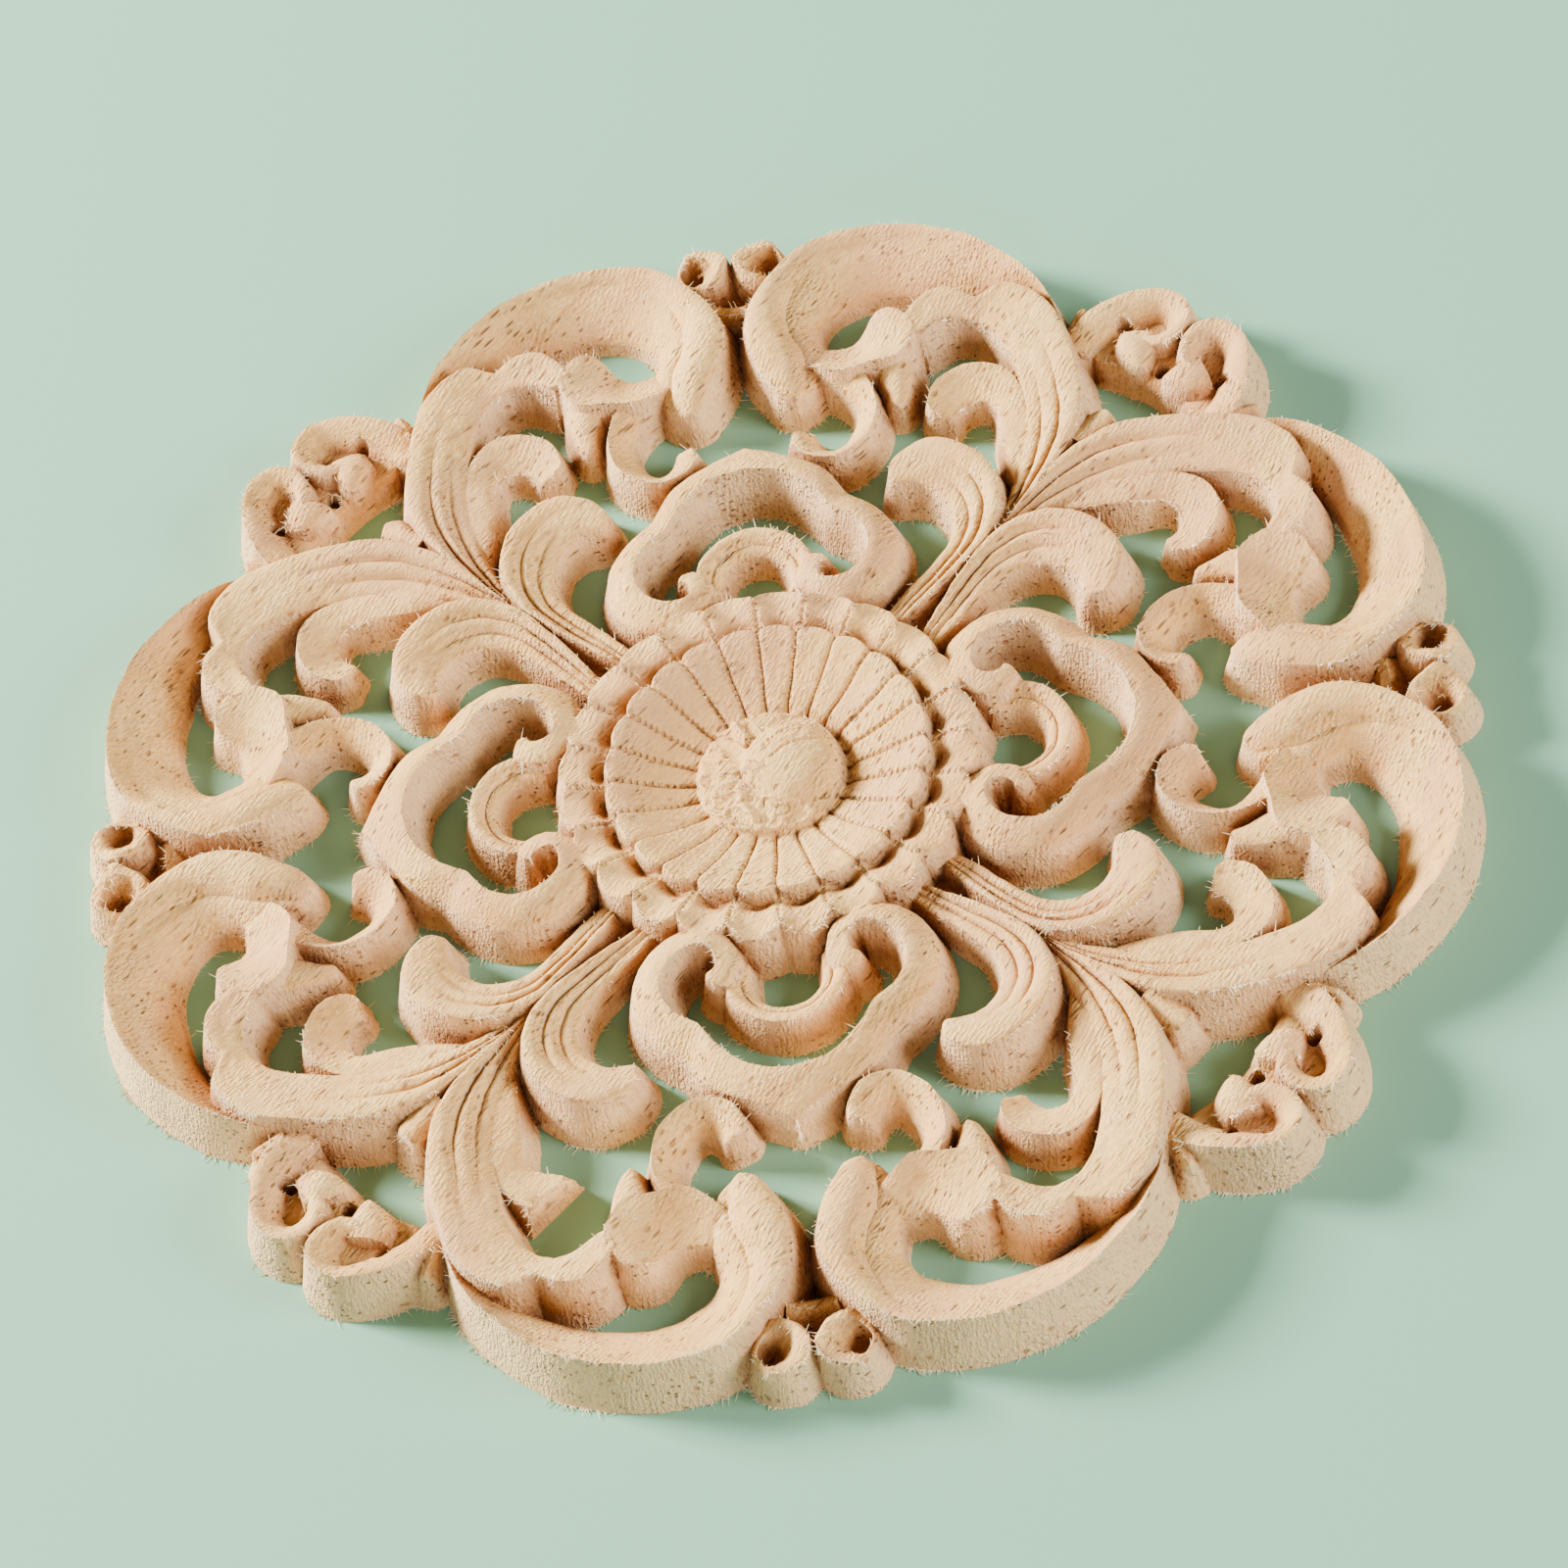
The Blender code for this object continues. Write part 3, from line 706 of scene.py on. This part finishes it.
def boss_height(x, y):
    share = (math.hypot(x, y) / BOSS) ** 2
    rest = REST["foot"] + REST["rise"] * math.sqrt(max(0.0, 1 - share))
    share = ((x - BALL["middle"][0]) ** 2 + (y - BALL["middle"][1]) ** 2) / BALL["radius"] ** 2
    ball = BALL["foot"] + BALL["rise"] * math.sqrt(max(0.0, 1 - share))
    if ball > rest:
        for turn, offset in SCRATCHES:
            line = x * math.sin(turn) - y * math.cos(turn) - offset + 0.5 * math.sin(x * 0.6)
            ball -= SCRATCH_DEPTH * math.exp(-(line / SCRATCH_WIDTH) ** 2)
        return ball
    picked = noise.turbulence(Vector((x * PICKED_SIZE, y * PICKED_SIZE, 3.0)), 3, True)
    line = x - RIDGE_AT + 0.12 * y - 1.2 * math.sin(y * 0.35)
    ridge = RIDGE_HEIGHT * math.exp(-(line / RIDGE_WIDTH) ** 2)
    return rest + PICKED_UP - PICKED_DOWN * picked + ridge


# %% [markdown]
# Raw wood tears a little under the cutter, so every point is moved by a small drift that
# follows its place. The drift breaks the mirror likeness of the eight wedges. The foot of the
# boss also gets a trench on one side. Nothing may leave the size of the solid, so each place
# is held inside it at the end.

# %% Let the edges drift
FLOOR_OF_CARVING = 3.0  # the boss and its trench are above this height
TRENCH = dict(way=(0.93, 0.37), radius=11.1, depth=1.3, width=0.8, end=13.5)
DRIFTS = ((0.4, 0.14), (1.7, 0.07))  # bends of the noise to a millimetre, and its reach
MARGIN = 0.02  # kept free between the drift and the solid's edge


def drift(bm):
    limit = WIDE / 2 - MARGIN
    for v in bm.verts:
        x, y, z = v.co / MM
        far = math.hypot(x, y)
        if z > FLOOR_OF_CARVING and far < BOSS - 0.3:
            z = boss_height(x, y)
        elif z > FLOOR_OF_CARVING and far < TRENCH["end"]:
            lee = max(0.0, (TRENCH["way"][0] * x + TRENCH["way"][1] * y) / far) ** 2
            across = (far - TRENCH["radius"]) / TRENCH["width"]
            z -= TRENCH["depth"] * lee * math.exp(-across ** 2)
        place = Vector((x, y, z))
        move = Vector()
        for bends, reach in DRIFTS:
            move += noise.noise_vector(place * bends) * reach
        x = max(-limit, min(limit, x + move.x))
        y = max(-limit, min(limit, y + move.y))
        z = max(0.0, min(TOP, z + move.z * min(1.0, z)))
        v.co = Vector((x, y, z)) * MM


bm = rosette()
drift(bm)
loose = [e for e in bm.edges if not e.is_manifold]
print(len(bm.faces), "triangles,", len(loose), "open edges")
print("volume", round(bm.calc_volume() / MM ** 3), "cubic mm")
carving = keep(bm, "rosette_carving")
CRISP = math.radians(38.0)  # edges that turn more than this are shaded sharp
carving.data.shade_smooth()
carving.data.set_sharp_from_angle(angle=CRISP)

# %% [markdown]
# Less light reaches into the hollows of the carving, and the material paints that shade on as a
# warm, dark brown. Each point of the mesh therefore keeps a number that says how closed in it
# is: short feelers go out from it, and the share that strikes wood is stored for the material to
# read. A near stroke counts more than a far one.

# %% Feel how closed in each point is
FEELERS = 12
REACH = 9.0  # millimetres that a feeler goes out
GOLDEN = 2.39996  # radians from one feeler to the next, which spreads them evenly
OFF_SKIN = 0.1  # millimetres above the wood where a feeler starts


def feel_hollows(mesh):
    body = bmesh.new()
    body.from_mesh(mesh)
    tree = BVHTree.FromBMesh(body)
    rays = []
    for i in range(FEELERS):
        rise = math.sqrt((i + 0.5) / FEELERS)
        spread, angle = math.sqrt(1 - rise * rise), i * GOLDEN
        rays.append(Vector((spread * math.cos(angle), spread * math.sin(angle), rise)))
    closed = []
    for v in body.verts:
        upright = v.normal.to_track_quat("Z", "Y")
        start = v.co + v.normal * OFF_SKIN * MM
        struck = 0.0
        for ray in rays:
            far = tree.ray_cast(start, upright @ ray, REACH * MM)[3]
            struck += 0.0 if far is None else 1.0 - 0.5 * far / (REACH * MM)
        closed.append(struck / FEELERS)
    body.free()
    mesh.attributes.new("hollow", "FLOAT", "POINT").data.foreach_set("value", closed)
    return sum(closed) / len(closed)


print("the points are closed in by", round(feel_hollows(carving.data), 2), "on average")

# %% [markdown]
# Raw edges are fuzzy: the cutter lifts single fibres and leaves them standing, most of all on
# the edges it leaves last. Each fibre is a thin three-sided sliver with its root in the wood.
# One sliver is made, and the others are copies of it, stretched and turned.

# %% Make one sliver
SLIVER = dict(root=0.075, tip=0.02)  # radius at its two ends, in millimetres


def one_sliver():
    bm = bmesh.new()
    bmesh.ops.create_cone(
        bm, cap_ends=True, segments=3, radius1=SLIVER["root"] * MM, radius2=SLIVER["tip"] * MM,
        depth=1.0,
    )
    shape = np.array([v.co for v in bm.verts])
    sides = [[v.index for v in face.verts] for face in bm.faces]
    bm.free()
    return shape, sides


# %% [markdown]
# A fibre needs a ridge, so only edges that bend outwards are tried. The chance grows with the
# length of the edge, in patches, and on the side that faces the cutter's last pass. It isn't
# lifted deep in a hollow, nor past the size of the solid.

# %% Lift fibres along the edges
FUZZY_SIDE = Vector((-0.35, -0.94, 0.0))
SHARP = 0.6  # radians that a ridge bends, at least
TOO_DEEP = 0.5  # closed in by more than this, no fibre stands
EVERYWHERE, ON_FUZZY_SIDE = 0.8, 9.0  # fibres to a millimetre of ridge
PATCHY = dict(size=0.16, middle=0.4, swing=2.2)
STRAY = 0.8  # how far a fibre leans off, against its length
SHORT, LONGER, SHORTEST = 0.35, 1.3, 0.2  # lengths in millimetres
ROOTED = 0.48  # share of its length where its middle lies
CLEAR_SIDE, CLEAR_TOP = 0.15, 0.13  # millimetres kept free to the solid's box


def fibres(mesh):
    rng = random.Random(11)
    source = bmesh.new()
    source.from_mesh(mesh)
    shape, sides = one_sliver()
    closed = mesh.attributes["hollow"].data
    limit = (WIDE / 2 - CLEAR_SIDE) * MM
    points, faces = [], []
    for edge in source.edges:
        if not edge.is_manifold or edge.calc_face_angle_signed(0.0) < SHARP:
            continue
        if max(closed[v.index].value for v in edge.verts) > TOO_DEEP:
            continue
        outward = (edge.link_faces[0].normal + edge.link_faces[1].normal).normalized()
        middle = (edge.verts[0].co + edge.verts[1].co) / 2
        facing = max(0.0, Vector((outward.x, outward.y, 0.0)).dot(FUZZY_SIDE))
        swing = PATCHY["swing"] * noise.noise(middle / MM * PATCHY["size"])
        patch = max(0.0, PATCHY["middle"] + swing)
        chance = (EVERYWHERE + ON_FUZZY_SIDE * facing) * patch * edge.calc_length() / MM
        for _ in range(int(chance + rng.random())):
            root = edge.verts[0].co.lerp(edge.verts[1].co, rng.random())
            stray = Vector([rng.uniform(-STRAY, STRAY) for _ in range(3)])
            length = (SHORT + LONGER * rng.random() ** 3) * MM
            tip = root + (outward + stray).normalized() * length
            for end in (root, tip):
                end.x, end.y = max(-limit, min(limit, end.x)), max(-limit, min(limit, end.y))
                end.z = max(CLEAR_TOP * MM, min((TOP - CLEAR_TOP) * MM, end.z))
            way = tip - root
            if way.length < SHORTEST * MM:
                continue
            turn = np.array(way.to_track_quat("Z", "Y").to_matrix())
            placed = (shape * (1.0, 1.0, way.length)) @ turn.T + np.array(root + way * ROOTED)
            faces += [[len(points) + i for i in side] for side in sides]
            points += placed.tolist()
    source.free()
    print(len(points) // len(shape), "fibres lifted")
    return points, faces


def shape_of(points, faces):
    slivers = bpy.data.meshes.new("slivers")
    slivers.from_pydata(points, [], faces)
    bm = bmesh.new()
    bm.from_mesh(slivers)
    bpy.data.meshes.remove(slivers)
    return bm


fuzz = keep(shape_of(*fibres(carving.data)), "lifted_fibres")

# %% [markdown]
# Raw rubberwood is pale tan, with pinkish heartwood drifting through it and short dark pores
# all along the grain. The grain runs one way through the whole board, so the patterns are
# laid in object space in millimetres, turned to the grain and stretched along it. A pattern
# that is cut open by a leaning wall then shows other marks there, as real wood does.
# The colours, the sizes of the marks and how strongly each one shows are all listed here. A
# size is a length along the grain, one across it and one through the board.

# %% Colours, sizes and strengths
GRAIN = -44.0  # degrees that bring the grain onto the first axis
PALE = (0.95, 0.62, 0.22, 1.0)
TAN = (0.84, 0.47, 0.145, 1.0)
BROWN = (0.64, 0.32, 0.09, 1.0)
PINK = (0.74, 0.38, 0.165, 1.0)
RUST = (0.42, 0.16, 0.05, 1.0)
PORE = (0.16, 0.05, 0.015, 1.0)
STRAW = (0.82, 0.55, 0.30, 1.0)
# SHADE is painted shade, laid over the closed-in hollows of the carving
SHADE = (0.44, 0.30, 0.21, 1.0)
FUZZ = (0.97, 0.80, 0.52, 1.0)
SIZE = dict(
    bands=(70.0, 9.0, 9.0), lines=(9.0, 0.5, 0.5), mottle=(1.0, 0.36, 0.45),
    rings=(60.0, 22.0, 16.0), ring_patch=(32.0, 32.0, 32.0), heart=(60.0, 14.0, 14.0),
    streaks=(0.34, 0.34, 9.0), dashes=(6.0, 0.85, 0.85), dense=(22.0, 9.0, 9.0),
    specks=(3.2, 1.9, 1.9), torn=(0.85, 0.85, 0.85), patches=(8.0, 8.0, 8.0),
    uneven=(2.0, 2.0, 2.0), ridges=(2.4, 8.0, 8.0),
)
SHOWN = dict(
    lines=0.65, mottle=0.5, rings=0.4, heart=0.6, wall=0.65, streaks=0.4,
    dashes=0.72, specks=0.6, torn=0.55, pits=0.22,
)
RAISED = dict(  # millimetres; what lies lower than the wood is negative
    ridges=0.07, rough=0.32, streaks=0.24, pores=-0.25, torn=0.16, pits=-0.35,
)
ROUGHNESS, SHINE = 0.78, 0.22
RING_TURN, TORN_TURN, RIDGE_TURN = 6.0, 20.0, 30.0  # degrees
print(len(SIZE), "patterns in the wood")

# %% [markdown]
# A few helpers keep the node code short. One adds a node, one lays out a pattern of a listed
# size along the grain, and the others name what a node is there for.

# %% Small helpers for the material
def add(tree, kind, settings=None, **sockets):
    """Add a node, set its options, and fill or connect its inputs."""
    node = tree.nodes.new(kind)
    for name, value in (settings or {}).items():
        setattr(node, name, value)
    for name, value in sockets.items():
        numbered = name[0] == "i" and name[1:].isdigit()
        socket = node.inputs[int(name[1:]) if numbered else name]
        if isinstance(value, bpy.types.NodeSocket):
            tree.links.new(value, socket)
        else:
            socket.default_value = value
    return node


def laid(tree, place, name, degrees=GRAIN):
    """The place turned about the upright axis and counted in steps of a listed size."""
    turn = (0.0, 0.0, math.radians(degrees))
    spun = add(tree, "ShaderNodeMapping", Vector=place, Rotation=turn).outputs[0]
    steps = [1 / s for s in SIZE[name]]
    return add(tree, "ShaderNodeMapping", Vector=spun, Scale=steps).outputs[0]


def cloud(tree, vector, detail=2.0, distortion=0.0):
    sockets = dict(Vector=vector, Scale=1.0, Detail=detail, Distortion=distortion)
    return add(tree, "ShaderNodeTexNoise", **sockets).outputs[0]


def between(tree, value, start, end):
    """0 where the value is at the start, 1 where it is at the end."""
    sockets = {"Value": value, "From Min": start, "From Max": end}
    return add(tree, "ShaderNodeMapRange", **sockets).outputs[0]


def math_of(tree, operation, a, b=0.0):
    return add(tree, "ShaderNodeMath", {"operation": operation}, i0=a, i1=b).outputs[0]


def times(tree, a, b):
    return math_of(tree, "MULTIPLY", a, b)


def blend(tree, share, under, over, way="MIX"):
    settings = {"data_type": "RGBA", "blend_type": way}
    return add(tree, "ShaderNodeMix", settings, i0=share, i6=under, i7=over).outputs[2]


def marks(tree, vector, size, kept):
    """Spots of a given size, in a part of the cells of the pattern."""
    cells = add(tree, "ShaderNodeTexVoronoi", Vector=vector, Scale=1.0, Randomness=1.0)
    spots = between(tree, cells.outputs["Distance"], size, size * 0.4)
    chosen = add(tree, "ShaderNodeSeparateColor", Color=cells.outputs["Color"])
    return times(tree, spots, between(tree, chosen.outputs[0], kept + 0.02, kept))


# %% [markdown]
# Broad bands of tone run along the grain, with fine lines in them. Growth lines show as thin
# rust-coloured bands in some places, and the heart is pinkish. The walls are cut across the
# fibres, so they are more straw-coloured and have upright streaks.

# %% Tones of the wood
def tones(tree, place, rough, streaks, wall):
    def tinted(colour, share, name, over):
        return blend(tree, times(tree, share, SHOWN[name]), colour, over)

    bands = between(tree, cloud(tree, laid(tree, place, "bands"), 3.0), 0.38, 0.66)
    colour = blend(tree, bands, PALE, TAN)
    lines = between(tree, cloud(tree, laid(tree, place, "lines")), 0.42, 0.75)
    colour = tinted(colour, lines, "lines", BROWN)
    colour = tinted(colour, between(tree, rough, 0.62, 0.36), "mottle", BROWN)
    waves = add(
        tree, "ShaderNodeTexWave", {"bands_direction": "Y"},
        Vector=laid(tree, place, "rings", GRAIN + RING_TURN), Scale=1.0, Distortion=4.0,
        Detail=1.0,
    ).outputs[0]
    some = between(tree, cloud(tree, laid(tree, place, "ring_patch", 0.0)), 0.47, 0.6)
    colour = tinted(colour, times(tree, between(tree, waves, 0.95, 1.0), some), "rings", RUST)
    heart = between(tree, cloud(tree, laid(tree, place, "heart"), 2.0, 0.6), 0.5, 0.64)
    colour = tinted(colour, heart, "heart", PINK)
    colour = tinted(colour, wall, "wall", STRAW)
    dark = times(tree, between(tree, streaks, 0.5, 0.75), wall)
    return tinted(colour, dark, "streaks", RUST)


# %% [markdown]
# Along the cuts between the petals the cutter leaves rows of tiny pits. They follow from the
# angle and the distance to the middle: a row wherever the angle is that of a cut, and a pit at
# each beat of the distance. Some noise keeps the beat from being even. The material darkens each
# pit, which is painted shade inside it.

# %% Rows of pits between the petals
ROW_OUT, ROW_IN = 0.5, 0.15  # millimetres beside a cut where the row begins and is full
PIT_STEP = 0.95  # millimetres from pit to pit
PITTED = ((11.5, 13.0), (29.3, 28.6))  # radii where the rows fade in and out


def stitches(tree, place, dense):
    xyz = add(tree, "ShaderNodeSeparateXYZ", Vector=place)
    x, y = xyz.outputs[0], xyz.outputs[1]
    squares = math_of(tree, "ADD", math_of(tree, "POWER", x, 2.0), math_of(tree, "POWER", y, 2.0))
    far = math_of(tree, "POWER", squares, 0.5)
    swing = times(tree, math_of(tree, "ARCTAN2", y, x), LOBES / 2)
    off = times(tree, math_of(tree, "ABSOLUTE", math_of(tree, "SINE", swing)), far)
    row = between(tree, off, ROW_OUT * LOBES / 2, ROW_IN * LOBES / 2)
    uneven = cloud(tree, laid(tree, place, "uneven", 0.0))
    uneven = math_of(tree, "ADD", far, uneven)
    beat = math_of(tree, "SINE", times(tree, uneven, math.tau / PIT_STEP))
    inside = times(tree, between(tree, far, *PITTED[0]), between(tree, far, *PITTED[1]))
    pits = times(tree, times(tree, row, between(tree, beat, 0.0, 0.8)), inside)
    return times(tree, pits, math_of(tree, "ADD", dense, 0.25))


# %% [markdown]
# The wood is put together in layers: tones, pores, torn dots, pits and shade for the colour,
# and the same patterns again as relief that is too fine for the mesh. Pores are long dashes
# along the grain, and round specks where the cutter crosses it. Torn fibres catch the light
# as pale dots. The pits are darkened with painted shade, and the hollows with painted shade
# that is warm and dark.

# %% The raw wood
def raw_wood():
    material = bpy.data.materials.new("raw_rubberwood")
    material.use_nodes = True
    tree = material.node_tree
    shader = tree.nodes["Principled BSDF"]
    shader.inputs["Roughness"].default_value = ROUGHNESS
    shader.inputs["Specular IOR Level"].default_value = SHINE
    place = add(tree, "ShaderNodeTexCoord").outputs["Object"]
    in_mm = {"operation": "SCALE"}
    place = add(tree, "ShaderNodeVectorMath", in_mm, Vector=place, Scale=1 / MM).outputs[0]
    normal = add(tree, "ShaderNodeNewGeometry").outputs["Normal"]
    facing = add(tree, "ShaderNodeSeparateXYZ", Vector=normal)
    wall = between(tree, facing.outputs["Z"], 0.62, 0.34)

    rough = cloud(tree, laid(tree, place, "mottle"), 1.0)
    streaks = cloud(tree, laid(tree, place, "streaks", 0.0), 1.0)
    dense = between(tree, cloud(tree, laid(tree, place, "dense")), 0.36, 0.52)
    dashes = times(tree, marks(tree, laid(tree, place, "dashes"), 0.28, 0.7), dense)
    specks = marks(tree, laid(tree, place, "specks"), 0.24, 0.4)
    patches = between(tree, cloud(tree, laid(tree, place, "patches", 0.0)), 0.4, 0.62)
    torn = marks(tree, laid(tree, place, "torn", TORN_TURN), 0.34, 0.5)
    torn = times(tree, torn, math_of(tree, "MAXIMUM", patches, wall))
    pits = stitches(tree, place, dense)

    colour = tones(tree, place, rough, streaks, wall)
    # the pits layer is painted shade: each pit is darkened towards RUST
    layers = ((dashes, "dashes", PORE), (specks, "specks", RUST), (torn, "torn", FUZZ),
              (pits, "pits", RUST))
    for share, name, over in layers:
        colour = blend(tree, times(tree, share, SHOWN[name]), colour, over)
    hollow = add(tree, "ShaderNodeAttribute", {"attribute_name": "hollow"}).outputs["Fac"]
    # painted shade: the more closed in a point is, the darker and warmer its colour
    colour = blend(tree, between(tree, hollow, 0.14, 0.58), colour, SHADE, "MULTIPLY")
    tree.links.new(colour, shader.inputs["Base Color"])

    ridges = add(
        tree, "ShaderNodeTexWave", {"bands_direction": "X"},
        Vector=laid(tree, place, "ridges", RIDGE_TURN), Scale=1.0, Distortion=0.6, Detail=0.0,
    ).outputs[0]
    relief = times(tree, times(tree, ridges, patches), RAISED["ridges"])
    worn = math_of(tree, "ADD", patches, 0.5)
    heights = (
        (times(tree, rough, worn), "rough"), (times(tree, streaks, wall), "streaks"),
        (math_of(tree, "MAXIMUM", dashes, specks), "pores"), (torn, "torn"), (pits, "pits"),
    )
    for height, name in heights:
        relief = math_of(tree, "ADD", relief, times(tree, height, RAISED[name]))
    bump = add(tree, "ShaderNodeBump", Strength=1.0, Distance=MM, Height=relief)
    tree.links.new(bump.outputs[0], shader.inputs["Normal"])
    print("the wood has", len(tree.nodes), "nodes")
    return material


def plain(name, colour, roughness):
    """A material of one colour."""
    material = bpy.data.materials.new(name)
    material.use_nodes = True
    shader = material.node_tree.nodes["Principled BSDF"]
    shader.inputs["Base Color"].default_value = colour
    shader.inputs["Roughness"].default_value = roughness
    return material


# %% [markdown]
# The carving takes the place of the plain solid, and both pieces ride on its body. The
# fibres get one pale colour, since each of them is too thin to show a pattern.

# %% Dress the pieces
for piece, dress in ((carving, raw_wood()), (fuzz, plain("pale_fibres", FUZZ, 0.8))):
    piece.data.materials.append(dress)
    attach(piece, "root")
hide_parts("rosette")
print("dressed", carving.name, "and", fuzz.name)

# %% [markdown]
# The floor is one pale green sheet. It lies a hair below the wood, so that the flat back and
# the sheet never share one plane.

# %% The floor
FLOOR_DROP = 0.05  # millimetres
bm = bmesh.new()
bmesh.ops.create_grid(
    bm, x_segments=1, y_segments=1, size=3.0,
    matrix=Matrix.Translation((0.0, 0.0, -FLOOR_DROP * MM)),
)
floor = keep(bm, "floor")
floor.data.materials.append(plain("floor_paint", (0.222, 0.46, 0.295, 1.0), 0.7))
print("the floor is", round(floor.dimensions.x, 1), "m wide")

# %% [markdown]
# A low key light from the left rakes over the carving and brings out each cove. Two weak
# lights from the right and the front keep the shaded walls readable, and the world adds a
# little light from everywhere.

# %% Soft studio light
LIGHTS = [
    # name, place in metres, width in metres, power in watts, colour
    ("key", (-1.31, 0.59, 0.66), 0.40, 130.0, (1.0, 0.99, 0.97)),
    ("side", (1.20, -0.36, 0.64), 0.60, 30.0, (1.0, 1.0, 1.0)),
    ("front", (0.0, -1.30, 0.53), 0.50, 7.0, (1.0, 1.0, 1.0)),
]
SKY_COLOUR, SKY_STRENGTH = (0.95, 1.0, 0.98, 1.0), 0.13


def softbox(name, place, size, power, colour):
    """A square light that looks at the middle of the carving."""
    lamp = bpy.data.lights.new(name, "AREA")
    lamp.size = size
    lamp.energy = power
    lamp.color = colour
    holder = bpy.data.objects.new(name, lamp)
    holder.location = place
    holder.rotation_euler = (-Vector(place)).to_track_quat("-Z", "Y").to_euler()
    bpy.context.collection.objects.link(holder)


for light in LIGHTS:
    softbox(*light)
sky = bpy.data.worlds.new("studio")
sky.use_nodes = True
sky.node_tree.nodes["Background"].inputs["Color"].default_value = SKY_COLOUR
sky.node_tree.nodes["Background"].inputs["Strength"].default_value = SKY_STRENGTH
bpy.context.scene.world = sky
print(len(LIGHTS), "lights and the sky")

# %% [markdown]
# The camera looks down on the carving from the front, through a long lens. It is given by
# its place, the point that it looks at, and how far it is rolled to one side.

# %% The camera
EYE = Vector((0.078761, -0.478198, 0.645841))  # metres
AIM = Vector((0.001173, 0.001260, 0.0))
ROLL = math.radians(-16.007226)
lens = bpy.data.cameras.new("camera")
lens.sensor_width = 36.0
lens.lens = 131.132
lens.clip_start = 0.01
camera = bpy.data.objects.new("camera", lens)
camera.location = EYE
level = (AIM - EYE).to_track_quat("-Z", "Y")
camera.rotation_euler = (level @ Quaternion((0.0, 0.0, 1.0), ROLL)).to_euler()
bpy.context.collection.objects.link(camera)
bpy.context.scene.camera = camera
print("the camera stands", round(EYE.length, 2), "m from the middle")
